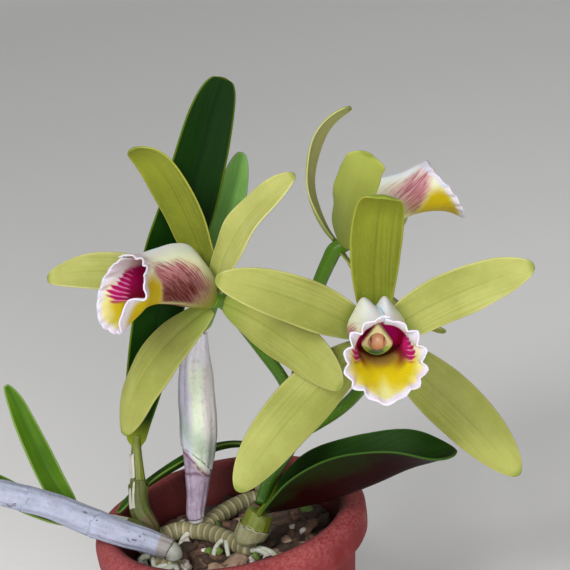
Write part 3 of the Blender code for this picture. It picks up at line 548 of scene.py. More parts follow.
def lipSurface(name, look):
    # place holds the share of the way from root to edge, the share of the way round from the
    # floor to the seam, and the distance from the free edge. Inside: magenta stripes on the
    # side lobes, maroon at their feet, yellow on the mid lobe beside a pale midline, and a
    # white margin. Outside: cream, with a rosy flush and darker veins that turns brown below,
    # and gold in front of it
    paint = lipPaint
    skin = Surface(name, Roughness=0.5, Subsurface_Weight=0.6, Subsurface_Scale=0.003, Specular_IOR_Level=0.16)
    along, way, free = skin.vector("place")
    turn, side = abs(way), skin.number("side")
    wander, fine, grain = skin.mottle(170.0, 3.0) - 0.5, skin.mottle(600.0) - 0.5, skin.mottle(2200.0)
    t, tw = along + wander * 0.1, turn + wander * 0.1
    spread = turn - along * 0.9

    low, high, reach = look["patch"]
    stripes = skin.streaks(spread * 20.0, along * 2.0, way * 3.0, 2.0, 0.6)
    comb = (spread * 120.0 + stripes * 7.0).math("SINE") * 0.5 + 0.5
    stripe = (comb * 0.6 + stripes * 0.5 + (0.72 - t).math("MAXIMUM", 0.0) * 3.0).ease(0.3, 0.44)
    ends = t + abs(tw - 0.55) * 0.35 - (stripes - 0.5) * 0.16 - (comb - 0.5) * 0.05
    patch = (tw - (t - 0.7) * 0.6).ease(low - 0.04, low + 0.04) * tw.fade(high - 0.05, high + 0.05)
    patch = patch * ends.fade(reach - 0.04, reach + 0.02)
    magenta = skin.mix((tw * 0.8 + t * 0.6).ease(0.62, 0.9), *paint["magenta"])
    # Painted light: bright magenta deep in the throat, standing in for light that shines through the lip's walls into
    # its shade
    magenta = skin.mix(t.fade(0.52, 0.78) * tw.ease(0.24, 0.4) * look["deep"], magenta, paint["paintedGlow"])
    limit, start, end = look["yellow"]
    yellow = tw.fade(limit - 0.08, limit + 0.08) * t.ease(start - 0.06, start + 0.06)
    yellow = yellow * (t - tw.hill(0.17, 0.09) * 0.06).fade(end - 0.16, end)
    centre = tw.hill(0.0, 0.045) * t.ease(start + 0.1, end - 0.1)
    centre = centre + tw.hill(0.0, 0.12) * t.ease(end - 0.2, end - 0.04)
    inside = skin.layers(
        paint["floor"],
        (tw.ease(0.45, 0.75), paint["lobes"]),
        (yellow, paint["yellow"]),
        ((centre * 0.75).clip(), paint["midline"]),
        (patch, skin.mix(stripe, paint["between"], magenta)),
        ((tw.hill(0.29, 0.11) * t.fade(0.66, 0.78) * t.ease(0.25, 0.4) * 0.9).clip(), paint["maroon"]),
        (t.fade(0.54, 0.7) * tw.fade(0.16, 0.3) * 0.9, paint["throat"]))

    low, high, climb, start = look["flush"]
    front = turn * look["front"][1] + look["front"][0]
    veins = skin.streaks(spread * 60.0, along * 5.0, 3.0, 3.0, 0.6).ease(0.4, 0.62)
    flush = tw.ease(low - 0.05, low + 0.06) * (tw - veins * 0.05 - (along * climb + high)).fade(-0.1, 0.06)
    flush = flush * (t + fine * 0.1).ease(start - 0.08, start + 0.22) * (t - front).fade(-0.04, 0.04)
    brown = flush * (tw + (along - 0.3) * 0.22 + fine * 0.2).fade(0.28, 0.6)
    outer = skin.layers(
        paint["below"],
        (tw.ease(0.3, 0.72), paint["above"]),
        (tw.ease(0.66, 0.92) * 0.8, paint["ridge"]),
        (along.fade(0.06, 0.36) * tw.fade(0.45, 0.85) * 0.9, paint["foot"]),
        (flush * 0.85, paint["flush"]),
        (flush * veins * 0.8, paint["vein"]),
        ((brown * (veins * 0.25 + 0.75)).clip(), paint["brown"]),
        (tw.fade(0.44, 0.6) * (t - front).ease(-0.03, 0.05) * t.fade(0.9, 1.0), paint["gold"]))

    band = (side * (look["outerBand"] - look["band"]) + look["band"]) * (tw.ease(0.6, 0.9) * 0.5 + 1.0)
    edge = ((free + wander * 1.6) / band).fade(0.35, 1.2)
    skin.paint(inside, (side, outer), (edge, paint["white"]))
    skin.feed("Roughness", grain * 0.2 + 0.42)
    skin.bump(skin.streaks(spread * 40.0, along * 1.5, 0.0) * 0.6 + grain * 0.2, 0.22)
    return skin


def makeLip(name, node, bloom, lip, surface, seed):
    # A trumpet round the column: at each step an ellipse through the floor, side and roof
    # lines. Its near edge runs on forward, the mid lobe narrows to a vee, two humps stand at
    # the seam, where one margin laps the other, and the free edge is ruffled
    lip = {**lipShape, **lip}
    right, up, front = bloomAxes(bloom)
    t = endSteps(lip["rows"], 0.35)
    floor, side, roof = (smoothPath(line, t)[:, None] for line in (lip["floor"], lip["side"], lip["roof"]))
    t = t[:, None]
    x = np.linspace(-1, 1, lip["cols"])
    overlap = lip["lap"] * lip["overlap"] * (x * lip["lap"] > 0) * np.abs(x) ** 4
    turn = np.radians(lip["seam"] * x + overlap)[None]
    round_ = np.abs(turn)
    mean = (floor[..., 0] + roof[..., 0]) / 2
    ahead = (mean + side[..., 0]) / 2 + (floor[..., 0] - roof[..., 0]) / 2 * np.cos(turn) \
        + (mean - side[..., 0]) / 2 * np.cos(2 * turn)
    wide = side[..., 1] * np.sin(turn) + lip["shift"] * hill(t, 0.4, 0.3)
    tall = (roof[..., 1] + floor[..., 1]) / 2 - (roof[..., 1] - floor[..., 1]) / 2 * np.cos(turn)
    tall = tall + lip["vee"] * hill(round_, 0.55, 0.32) * ease(t, 0.7, 1.0)
    for size, at, width, start in lip["near"]:
        ahead = ahead + size * ease(t, start, 1.0) * hill(turn, at, width)
    for size, at, width, start in lip["curl"]:
        tall = tall + size * ease(t, start, 1.0) * hill(turn, at, width)
    for size, at, width, step, length in lip["belly"]:
        tall = tall - size * hill(turn, at, width) * hill(t, step, length)
    humpTurn = np.radians(lip["humpAt"] + lip["humpSkew"] * np.sign(turn))
    tall = tall + lip["hump"] * (hill(t, lip["humpStep"], 0.22) * hill(round_, humpTurn, 0.26))
    tall = tall - lip["grooveDepth"] * (hill(t, 0.36, 0.3) * hill(round_, math.pi, 0.2))

    # Scallops lie between a sine wave and arches that meet in notches, with fine beads on them
    phase = np.random.default_rng(seed).uniform(0, 6.28, 4)
    beat = 1 + 0.25 * np.sin(3 * turn + phase[0]) + 0.15 * np.sin(7 * turn + phase[1])
    edge = np.clip((t - lip["smooth"]) / (1 - lip["smooth"]), 0, 1) ** 1.2
    calm = 1 - lip["calm"][2] * hill(turn, *lip["calm"][:2])
    swell = lip["ruffles"] * turn + math.radians(lip["phase"])
    scallop = 0.4 * np.sin(swell) + 0.6 * (2 * np.abs(np.cos(swell / 2 - np.pi / 4)) - 1.27)
    wave = lip["ruffle"] * edge * beat * calm * scallop * (1 - 0.7 * ease(round_, 2.4, 2.9))
    bead = 2 * np.abs(np.sin(18.5 * turn + 0.7 * np.sin(5 * turn + phase[2]))) - 1.27
    bead = bead + 0.4 * np.sin(61 * turn + phase[3])
    frill = lip["ragged"] * calm * np.clip((t - 0.88) / 0.12, 0, 1) ** 1.5 * bead
    lap = ease(lip["lap"] * np.degrees(turn), 150.0, 180.0)
    swing = 1 + (wave + frill + 0.8 * lap) / 13

    ahead, wide, tall = ahead - 0.6 * wave - 0.3 * frill, wide * swing, tall * swing
    middle = np.array(bloom["centre"]) + bloom["size"] * (
        ahead[..., None] * front + wide[..., None] * right + tall[..., None] * up)
    down = np.linalg.norm(np.diff(middle, axis=0), axis=-1)
    down = np.concatenate([np.zeros((1, len(x))), np.cumsum(down, axis=0)])
    free = down[-1] - down
    rim = np.minimum(np.minimum(free, down), np.radians(lip["seam"] * (1 - np.abs(x))) * 8.0)
    addBlade(name, [node], surface, middle, lip["thick"], rim, stacked(t, x, free))


for number, (place, lip) in enumerate(lips.items()):
    skin = lipSurface(f"lip{place.title()}", lip["look"])
    makeLip(f"{place}_lip", f"bloom_{place}_lip", blooms[place], lip, skin, 70 + number)
print("lips made")


# Column: distance forward, half width and height of its middle line at each step. The anther
# cap sits at capAt, ahead and up. lean, in blooms, is how far the tip leans aside
column = [(1.2, 2.5, 0.2), (8, 2.7, 2.0), (14, 3.3, 3.6), (18, 4.1, 4.0), (21, 4.3, 3.2), (22.6, 3.0, 2.2)]
columnLook = {
    "rings": 64, "sides": 48, "reach": 22.6, "ridge": 2.3, "taper": 0.3, "hollow": 1.7,
    "capAt": (21.2, 4.3), "capLean": 20.5, "capSize": (1.9, 2.95, 3.2), "capRings": 22,
    "body": ((0.5, 0.52, 0.18), (0.6, 0.5, 0.24)), "ridgeTint": (0.7, 0.68, 0.34),
    "freckle": (0.62, 0.36, 0.22), "blush": (0.54, 0.32, 0.15), "under": (0.2, 0.26, 0.01),
    "hollowShade": (0.024, 0.06, 0.001), "cap": ((0.46, 0.19, 0.08), (0.6, 0.33, 0.17)), "slit": (0.1, 0.02, 0.006),
}


def columnSurface():
    # Pale green, cream along the ridge, blushed with peach round the anther cap, and dark green
    # in the hollow below it, with painted shade, near black, deepest in that hollow
    look = columnLook
    skin = Surface("column", Roughness=0.45, Subsurface_Weight=0.25, Subsurface_Scale=0.0015, Specular_IOR_Level=0.25)
    along, aside, high = skin.vector("place")
    aside, mottle = abs(aside), skin.mottle(500.0)
    skin.paint(
        look["body"][0],
        (along.ease(0.3, 0.9), look["body"][1]),
        (high.ease(0.2, 0.8) * 0.9, look["ridgeTint"]),
        (mottle.ease(0.4, 0.7) * 0.2, look["freckle"]),
        (along.ease(0.84, 0.95) * high.hill(0.25, 0.45) * aside.fade(0.5, 0.9) * 0.85, look["blush"]),
        (along.ease(0.8, 0.92) * (high + mottle * 0.3).fade(-0.25, 0.25), look["under"]),
        # Painted shade: near-black green deep in the hollow under the anther cap
        (along.ease(0.88, 0.96) * (high + mottle * 0.2).fade(-0.45, 0.0) * aside.fade(0.6, 0.92), look["hollowShade"]))
    skin.bump(skin.mottle(1800.0), 0.1)
    return skin


def capSurface():
    # The peach anther cap, darker in its two slits
    skin = Surface("antherCap", Roughness=0.38, Subsurface_Weight=0.4, Subsurface_Scale=0.002)
    _, aside, high = skin.vector("place")
    slit = (abs(aside).hill(0.74, 0.08) * high.hill(0.22, 0.42)).clip()
    colour = skin.mix(skin.mottle(700.0), *columnLook["cap"])
    skin.feed("Base Color", skin.mix(slit * 0.85, colour, columnLook["slit"]))
    skin.bump(1 - slit, 0.5)
    return skin


columnSkin, capSkin = columnSurface(), capSurface()


def makeColumn(name, node, bloom):
    # A half-round column that widens to the tip, where a hood stands over a hollow. The
    # anther cap, a squashed ball with two notches, sits in the hollow
    right, up, front = bloomAxes(bloom)
    centre, size, look = np.array(bloom["centre"]), bloom["size"], columnLook

    def placed(ahead, aside, high):
        return size * (ahead[..., None] * front + aside[..., None] * right + high[..., None] * up)

    s = endSteps(look["rings"], 0.5)
    ahead, half, rise = smoothPath(column, s).T[..., None]
    s = s[:, None]
    turn = around(look["sides"])[None]
    lean = bloom["lean"] * (ahead / look["reach"]) ** 2
    close = rounded(s, 0.88, 0.12, 0.0004)
    top = np.clip(np.sin(turn), 0, 1)
    wing = 1 + 0.12 * ease(s, 0.5, 0.85) * hill(np.sin(turn), -0.15, 0.4) - look["taper"] * top ** 1.5
    ridge = look["ridge"] * top ** 2 * hill(np.cos(turn), 0.0, 0.8) * ease(s, 0.1, 0.6)
    hollow = look["hollow"] * ease(s, 0.9, 1.0) - 1.2 * ease(s, 0.55, 0.9) * top
    skin = Bundle()
    skin.rings(centre + placed(ahead - hollow, lean + half * close * wing * np.cos(turn),
                               rise + (half * 0.85 * np.sin(turn) + ridge) * close),
               stacked(s, np.cos(turn), np.sin(turn)))
    skin.make(name, [node], "column", columnSkin)

    capAhead, capUp = look["capAt"]
    capLean = bloom["lean"] * (look["capLean"] / look["reach"]) ** 2
    centre = centre + size * (capAhead * front + capLean * right + capUp * up)
    way = np.linspace(0, np.pi, look["capRings"])[:, None]
    ball = stacked(np.cos(way), np.sin(way) * np.cos(turn), np.sin(way) * np.sin(turn))
    x, y, z = np.moveaxis(ball, -1, 0)
    notch = 0.2 * hill(np.abs(y), 0.74, 0.08) * hill(z, 0.22, 0.5) * (x > 0)
    deep, wide, tall = look["capSize"]
    cap = centre + placed(x * deep * (1 - notch), y * wide, z * tall * (1 - 0.12 * x))
    for end, near in ((0, 1), (-1, -2)):
        pole = cap[end].mean(0)
        cap[end] = pole + (cap[near] - pole) * 0.05
    skin = Bundle()
    skin.rings(cap[::-1], ball[::-1])
    skin.make(f"{name}_cap", [], "column", capSkin)


for place in blooms:
    makeColumn(f"{place}_column", f"bloom_{place}_column", blooms[place])
print("columns made")


# Flower stem

stem = {
    "fork": (28.0, 6.0, 101.0),
    "peduncle": [(12.0, -10.3, 85.3), (15.6, -4.6, 90.2), (22.0, 1.0, 95.5)],
    "front": [(36, 7, 103.5), (44, 3, 109), (51, -3, 117), (56, -11, 128), (59, -20, 139)],
    "left": [(29, 11, 109), (26.5, 15, 118), (21.5, 16, 129), (17, 13, 140), (14, 8, 149)],
    "back": [(30, 12, 110), (33, 18, 124), (38.6, 23, 137), (44.4, 25, 147), (49, 24.5, 154.6)],
    "radius": 2.3, "ovary": 2.9, "joint": 3.0, "sides": 24, "rings": 70,
}


def stemSurface():
    # Fresh green, paler towards the blooms, with faint long streaks and small pale specks
    skin = Surface("flowerStem", Roughness=0.42, Subsurface_Weight=0.05, Subsurface_Scale=0.002)
    along, round_, _ = skin.vector("place")
    streak = skin.streaks(round_ * 30.0, along * 3.0, 0.0)
    speck = skin.mottle(1500.0, 1.0).ease(0.68, 0.74)
    skin.paint(
        (0.02, 0.075, 0.002),
        (along, (0.095, 0.23, 0.005)),
        (streak.ease(0.45, 0.75) * 0.4, (0.13, 0.26, 0.015)),
        (speck * 0.4, (0.5, 0.55, 0.3)))
    skin.bump(streak * 0.6 + speck * 0.4, 0.12)
    return skin


def makeStem():
    # One stalk to the fork, three on from it, and a ball that joins them. Each stalk meets its
    # bloom square on, and its ovary swells towards the bloom, with six ribs
    body, sides, fork = Bundle(), stem["sides"], stem["fork"]
    roundWay = np.linspace(0, 1, sides)
    steps = np.linspace(0, 1, 40)
    body.rings(tubeRings(smoothPath(stem["peduncle"] + [fork], steps), np.full(40, stem["radius"]), sides),
               stacked(0.2 * steps[:, None], roundWay, 0.0))
    steps = np.linspace(0, 1, stem["rings"])
    thin = stem["radius"] - 0.2
    radii = (thin + (stem["ovary"] - thin) * steps ** 3)[:, None]
    ribs = 1 + 0.045 * ease(steps, 0.45, 0.8)[:, None] * np.cos(6 * around(sides))
    for place, bloom in blooms.items():
        centre, front = np.array(bloom["centre"]), bloomAxes(bloom)[2]
        line = [fork] + stem[place] + [tuple(centre - 4 * front), tuple(centre + 0.6 * front)]
        body.rings(tubeRings(smoothPath(line, steps), radii * ribs, sides),
                   stacked(0.2 + 0.8 * steps[:, None], roundWay, 0.0))
    joint = np.linspace(-1, 1, 14)
    ball = np.array(fork) + stacked(0.0, 0.0, joint * stem["joint"])
    body.rings(tubeRings(ball, stem["joint"] * rounded(np.abs(joint), 0, 1, 0.003), sides))
    body.make("flower_stem_skin", ["flower_stem"], "stem", stemSurface())


makeStem()
print("flower stem made")


# Leaves

leaves = {
    "leaf_tall": {
        "midrib": [(-27.6, 19, 102.3), (-26.4, 19.6, 108), (-21.5, 21, 122), (-14, 23, 142), (-3, 27, 168),
                   (4, 29, 180), (12, 31, 197), (19.5, 33, 213), (24.5, 34, 222)],
        "width": 19.5, "peak": (0.5, 0.3), "fold": 14, "root": 1.8,
        "face": [(0.2, -1, 0.2), (0.1, -1, 0.1)],
        # The tall leaf's greens are near black: painted shade, darker than its own green, as the leaf stands in shadow
        "look": {"dark": (0.0015, 0.012, 0.0004), "light": (0.006, 0.034, 0.001), "under": (0.04, 0.08, 0.01),
                 "edge": (0.09, 0.14, 0.004)}},
    "leaf_back": {
        "midrib": [(1.9, 24.1, 138.6), (6.5, 27, 151), (12, 31, 164), (19, 35, 178), (23, 37, 187),
                   (26, 38, 194)],
        "width": 12.0, "peak": (0.5, 0.45), "fold": 16, "root": 1.7,
        "face": [(0, -1, 0.3), (0, -1, 0.2)],
        "look": {"dark": (0.08, 0.19, 0.035), "light": (0.2, 0.4, 0.095), "under": (0.12, 0.22, 0.08),
                 "edge": (0.2, 0.3, 0.12)}},
    "leaf_left_upper": {
        "midrib": [(-53.8, 7.1, 87.9), (-58.0, 10, 98), (-61.2, 13, 109), (-63.9, 16, 119), (-66.0, 19, 127),
                   (-67.7, 20, 132)],
        "width": 9.4, "peak": (0.34, 0.5), "fold": 24, "root": 2.0,
        "face": [(0.4, -1, 0.3), (0.3, -1, 0.3)],
        "look": {"dark": (0.025, 0.075, 0.003), "light": (0.085, 0.18, 0.01), "under": (0.1, 0.18, 0.04),
                 "edge": (0.18, 0.28, 0.06)}},
    "leaf_left_lower": {
        "midrib": [(-55.0, 2.8, 86.3), (-61, 0.8, 90.5), (-69, 0.4, 97.0), (-77, 1.2, 105), (-84, 2.0, 112.5)],
        "width": 10.0, "peak": (0.45, 0.5), "fold": 20, "root": 2.0,
        "face": [(0.4, -0.5, 0.9), (0.4, -0.5, 0.9)],
        "look": {"dark": (0.025, 0.075, 0.003), "light": (0.085, 0.17, 0.01), "under": (0.1, 0.18, 0.04),
                 "edge": (0.18, 0.26, 0.06)}},
    "leaf_front": {
        "midrib": [(12.5, -15.2, 85.0), (25, -19, 86.5), (38.5, -24, 90), (51, -29, 95), (63, -33, 100),
                   (72, -36, 102.5), (78, -38, 104.5)],
        "width": 40.0, "peak": (0.45, 0.62), "fold": 66, "root": 2.4,
        "face": [(-0.2, 0.1, 1), (-0.2, 0.1, 1)],
        # The front leaf's colours are very dark: its own dark green and purple underside, deepened by painted shade
        # for the underside that hangs in shadow
        "look": {"dark": (0.004, 0.016, 0.002), "light": (0.018, 0.055, 0.005), "under": (0.014, 0.0012, 0.001),
                 "edge": (0.035, 0.085, 0.012)}},
    "leaf_rim": {
        "midrib": [(14.5, 30, 87.5), (5, 32, 89.5), (-7.5, 31, 88.5), (-19, 27, 86), (-28.6, 21, 84),
                   (-34.5, 15.5, 82.6), (-38.2, 11.2, 81.2)],
        "width": 9.0, "peak": (0.4, 0.5), "fold": 30, "root": 2.0,
        "face": [(0, 0.3, 1), (0, 0.35, 1)],
        "look": {"dark": (0.012, 0.045, 0.004), "light": (0.04, 0.11, 0.01), "under": (0.03, 0.08, 0.01),
                 "edge": (0.12, 0.2, 0.03)}},
}
leafShape = {"rows": 90, "cols": 31, "thick": (1.5, 0.75), "tip": 0.8, "keel": 0.12, "sunk": 2.4, "wave": 0.35}


def leafSurface(name, look, purple):
    # Waxy green with long parallel veins and a lighter margin line. purple reddens the
    # underside towards the keel
    skin = Surface(name, Roughness=0.4, Specular_IOR_Level=0.05)
    u, v, rim = skin.vector("place")
    across, under = skin.number("across"), skin.number("side")
    vein = skin.streaks(across * 1.3, u * 2.5, 0.0, 3.0, 0.6)
    cloud, pits = skin.mottle(70.0, 3.0), skin.mottle(900.0, 3.0)
    top = skin.layers(look["dark"], ((vein * 0.7 + cloud * 0.8 - 0.35).clip(), look["light"]),
                      (across.hill(0.0, 0.8) * 0.6, look["dark"]))
    below = skin.mix((vein * 0.6 + cloud * 0.9 - 0.3).clip(), shaded(look["under"], 0.55), look["under"])
    if purple:
        below = skin.mix((abs(v) + (cloud - 0.5) * 1.1).ease(0.45, 0.95), below, (0.008, 0.013, 0.002))
    skin.paint(
        top,
        (under, below),
        (rim.fade(0.2, 0.75) * 0.85, look["edge"]),
        (u.fade(0.01, 0.1) * 0.8, (0.22, 0.27, 0.02)))
    skin.feed("Roughness", cloud * 0.2 + pits * 0.12 + 0.3)
    skin.bump(vein * 0.7 + pits * 0.2, 0.2)
    return skin


def makeLeaf(name, leaf, seed):
    # Each half rises from a smooth midrib by the fold angle, rounded at the keel
    look = leafShape
    u = endSteps(look["rows"], 0.5)
    midrib = np.array(leaf["midrib"], float)
    midrib[0] -= look["sunk"] * unit(midrib[1] - midrib[0])
    line = smoothPath(midrib, u)
    down = distances(line)
    along = unit(np.gradient(line, down, axis=0))
    first, last = (unit(face) for face in leaf["face"])
    face = (1 - u)[:, None] * first + u[:, None] * last
    face = unit(face - np.sum(face * along, axis=1)[:, None] * along)
    acrossWay = np.cross(face, along)
    half = bladeHalf(u, leaf["peak"], leaf["width"], leaf["root"] * (1 - u) ** 4, look["tip"])
    # The foot narrows to slip inside the cane
    half = (half * (0.45 + 0.55 * ease(u * down[-1], 0.0, 4.0)))[:, None]
    u = u[:, None]
    v = edgeSteps(look["cols"], 0.7)
    fold = math.radians(leaf["fold"]) * ((1 - u ** 6) * (1 - (1 - u) ** 6))
    draw = np.random.default_rng(seed)
    wave = np.sin(u * draw.uniform(7, 11) + draw.uniform(0, 6) + 1.7 * np.sign(v))
    lift = half * np.sin(fold) * (np.sqrt(v ** 2 + look["keel"] ** 2) - look["keel"])
    lift = lift + look["wave"] * v ** 2 * wave * np.sin(np.pi * u)
    reach = half * np.cos(fold) * v
    middle = line[:, None] + reach[..., None] * acrossWay[:, None] + lift[..., None] * face[:, None]
    rib = (1 - np.abs(v) ** 0.7) * (1 - u ** 3)
    thick = look["thick"][1] + (look["thick"][0] - look["thick"][1]) * rib
    rim = np.minimum(half * (1 - np.abs(v)), np.minimum(u, 1 - u) * down[-1])
    skin = leafSurface(name + "_skin", leaf["look"], name == "leaf_front")
    addBlade(name + "_blade", [name], skin, middle, thick, rim, stacked(u, v, rim), half * v)


for number, (name, leaf) in enumerate(leaves.items()):
    makeLeaf(name, leaf, 90 + number)
print("leaves made")


# Pseudobulbs

# Each sheath: where it starts and ends along the bulb, lift, tear, how far it wraps, the angle
# of its middle, both in degrees, how far its foot slants, and its paper
bulbs = {
    "pseudobulb_tall": {
        "path": [(-28, 6, 73.6), (-28, 6, 75.5), (-30.3, 8.5, 82), (-29.2, 14, 91), (-27.9, 18.8, 101.5),
                 (-26.9, 19.4, 106)],
        "radii": [2.6, 2.8, 3.0, 2.4, 1.7, 1.5], "skin": "cane",
        "sheaths": [(0.0, 0.56, 0.25, 1.2, 364, 250, 0, "olive"), (0.28, 0.82, 0.3, 0.5, 96, 200, 0, "pale")]},
    "pseudobulb_white": {
        "path": [(-11.9, 10, 73.6), (-11.9, 10, 75.5), (-10.2, 12.5, 82), (-9.0, 14.4, 87.2), (-7.4, 16.6, 94),
                 (-6.0, 18.2, 101.5), (-4.9, 19.6, 108.5), (-4.4, 20.5, 114), (-3.2, 22, 122),
                 (-2.1, 22.9, 128.7), (-0.5, 23.5, 133.4), (1.2, 24, 138)],
        "radii": [2.4, 2.6, 3.1, 3.8, 4.9, 5.8, 5.75, 5.7, 5.35, 4.5, 3.1, 1.6], "skin": "mealy",
        "sheaths": [(0.02, 0.42, 0.12, 0.3, 364, 270, 0, "mealy"), (0.32, 1.0, 0.4, 0.3, 364, 270, 4.6, "mealy")]},
    "pseudobulb_front": {
        "path": [(6, -13, 73.6), (6, -13, 75.2), (8.5, -13, 79), (11.5, -12.5, 84)],
        "radii": [3.4, 4.6, 5.0, 4.6], "skin": "cane", "sheaths": [(0.05, 0.55, 0.25, 0.6, 364, 270, 0, "pale")]},
    "pseudobulb_back": {
        "path": [(13, 27, 73.6), (13, 27, 75.2), (14.2, 28.5, 80), (14.6, 30, 86.2)],
        "radii": [2.8, 3.4, 3.2, 2.4], "skin": "cane", "sheaths": [(0.05, 0.6, 0.25, 0.6, 364, 90, 0, "pale")]},
    "pseudobulb_left": {
        "path": [(-27, -3, 73.6), (-27, -3, 75.2), (-30.5, -2.4, 79.6), (-38, -1.0, 82.9), (-46, 1.8, 84.4),
                 (-52.6, 5.2, 86.6)],
        "radii": [2.6, 2.6, 2.4, 2.3, 2.5, 3.0], "skin": "cane",
        "sheaths": [(0.05, 0.4, 0.25, 0.6, 364, 0, 0, "olive"), (0.38, 0.8, 0.25, 0.6, 364, 0, 0, "pale")]},
    "pseudobulb_silver": {
        "path": [(-20, -15, 73.6), (-20, -15, 75.2), (-26, -13, 79.2), (-35, -11.2, 83.4), (-46, -9.2, 89.5),
                 (-57, -8, 96.6), (-73.5, -7, 104.8), (-84, -6.5, 110.2)],
        "radii": [2.8, 3.0, 3.5, 4.1, 4.4, 4.1, 3.9, 2.2], "skin": "silver",
        "sheaths": [(0.05, 0.42, 0.12, 0.5, 364, 0, 0, "silver"), (0.39, 0.74, 0.12, 0.5, 364, 0, 0, "silver"),
                    (0.7, 0.97, 0.12, 0.5, 364, 0, 0, "silver")]},
}
bulbShape = {"rings": 96, "sides": 44, "sheathRows": 40, "sheathCols": 73, "sheathThick": 0.2, "fine": 400}


def bulbSurface(name, low, high, vein, roughness=0.45):
    # Long lighter fibres over a soft cloudy tint
    skin = Surface(name)
    _, round_, far = skin.vector("place")
    fibre = skin.streaks(round_ * 34.0, far * 0.09, 0.0, 3.0, 0.6)
    cloud = skin.mottle(130.0, 3.0)
    skin.paint(
        low, ((cloud * 1.4 - 0.2).clip(), high), (fibre.ease(0.5, 0.72) * 0.6, vein))
    skin.feed("Roughness", cloud * 0.3 + roughness - 0.15)
    skin.bump(fibre * 0.8 + cloud * 0.4, 0.3)
    return skin


def paperSurface(name, pale, tint, stain, stainBelow):
    # A dry sheath: pale fibres, darker lines between them, and stains towards its foot
    skin = Surface(name, Roughness=0.62, Subsurface_Weight=0.1, Subsurface_Scale=0.001)
    _, round_, far = skin.vector("place")
    fibre = skin.streaks(round_ * 40.0, far * 0.06, 0.0, 3.0, 0.65)
    cloud, mealy = skin.mottle(160.0, 4.0, 0.6), skin.mottle(650.0, 4.0, 0.65)
    crack = skin.mottle(330.0, 3.0, 0.6).ease(0.655, 0.7)
    skin.paint(
        tint,
        ((cloud * 1.6 - 0.35).clip(), pale),
        (fibre.ease(0.54, 0.78) * 0.3, shaded(tint, 0.6)),
        ((mealy - 0.5).ease(0.0, 0.2) * 0.35, shaded(tint, 0.72)),
        ((far.fade(stainBelow * 0.85, stainBelow) * (cloud * 0.9 + 0.35)).clip(), stain),
        (crack * 0.7, shaded(tint, 0.25)))
    skin.bump(fibre * 0.5 + cloud * 0.5 + mealy * 0.6 - crack * 0.6, 0.4)
    return skin


def mealySurface():
    # The white pseudobulb: lavender on the left, green-white in the middle, rosy on the right,
    # blue-green above a slanting purple ring, and a mealy lavender cane below it
    skin = Surface("whitePaper", Roughness=0.6, Subsurface_Weight=0.1, Subsurface_Scale=0.001)
    _, round_, far = skin.vector("place")
    x, _, z = (part * 1000 for part in skin.parts(skin.spot()))
    fibre = skin.streaks(round_ * 36.0, far * 0.05, 0.0, 3.0, 0.6)
    cloud, mealy = skin.mottle(150.0, 4.0, 0.6), skin.mottle(600.0, 4.0, 0.65)
    drift = cloud - 0.5
    aside = x - z * 0.15 + 21.2 + drift * 3.0
    level = z + x * 1.25 - 82.0 + drift * 5.0
    cane = skin.layers(
        (0.19, 0.13, 0.19),
        ((cloud * 2.0 - 0.5).clip(), (0.42, 0.34, 0.43)),
        ((far + drift * 2.0).hill(16.8, 0.7) * 0.8, (0.1, 0.04, 0.07)))
    skin.paint(
        (0.62, 0.58, 0.72),
        (aside.ease(-3.4, -1.6), (0.68, 0.73, 0.56)),
        (aside.ease(1.0, 3.0), (0.62, 0.57, 0.56)),
        ((z + drift * 12.0).ease(124.0, 131.0) * 0.9, (0.68, 0.63, 0.72)),
        ((level.hill(11.0, 8.0) * (cloud * 0.6 + 0.45)).clip(), (0.24, 0.32, 0.24)),
        (fibre.ease(0.5, 0.8) * 0.35, (0.4, 0.43, 0.34)),
        (level.fade(-1.2, 0.6), cane),
        ((level.hill(0.8, 1.3) * mealy * 1.9).clip(), (0.14, 0.035, 0.08)),
        ((mealy - 0.5).ease(0.0, 0.2) * 0.4, (0.36, 0.33, 0.37)))
    skin.bump(fibre * 0.4 + cloud * 0.6 + mealy * 0.7, 0.45)
    return skin


bulbSkins = {
    "cane": bulbSurface("caneSkin", (0.06, 0.075, 0.005), (0.16, 0.19, 0.012), (0.23, 0.25, 0.03)),
    "mealy": bulbSurface("mealySkin", (0.34, 0.32, 0.34), (0.56, 0.52, 0.58), (0.5, 0.5, 0.46), 0.6),
    "silver": bulbSurface("silverSkin", (0.16, 0.17, 0.1), (0.4, 0.41, 0.38), (0.62, 0.63, 0.62), 0.55),
}
paperSkins = {
    "pale": paperSurface("palePaper", (0.55, 0.52, 0.5), (0.34, 0.34, 0.24), (0.17, 0.16, 0.05), 7.0),
    "olive": paperSurface("olivePaper", (0.095, 0.11, 0.014), (0.05, 0.062, 0.005), (0.08, 0.055, 0.015), 7.0),
    "mealy": mealySurface(),
    "silver": paperSurface("silverPaper", (0.38, 0.4, 0.53), (0.24, 0.26, 0.33), (0.24, 0.2, 0.17), 8.0),
}


def bulbLine(shape, steps):
    # The middle line, the radii smoothed along it, and its length
    reach = distances(np.array(shape["path"], float))
    radii = np.interp(steps, reach / reach[-1], shape["radii"])
    kernel = np.hanning(9) / np.hanning(9).sum()
    smooth = np.convolve(np.pad(radii, 4, mode="edge"), kernel, mode="valid")
    return smoothPath(shape["path"], steps), smooth, reach[-1]


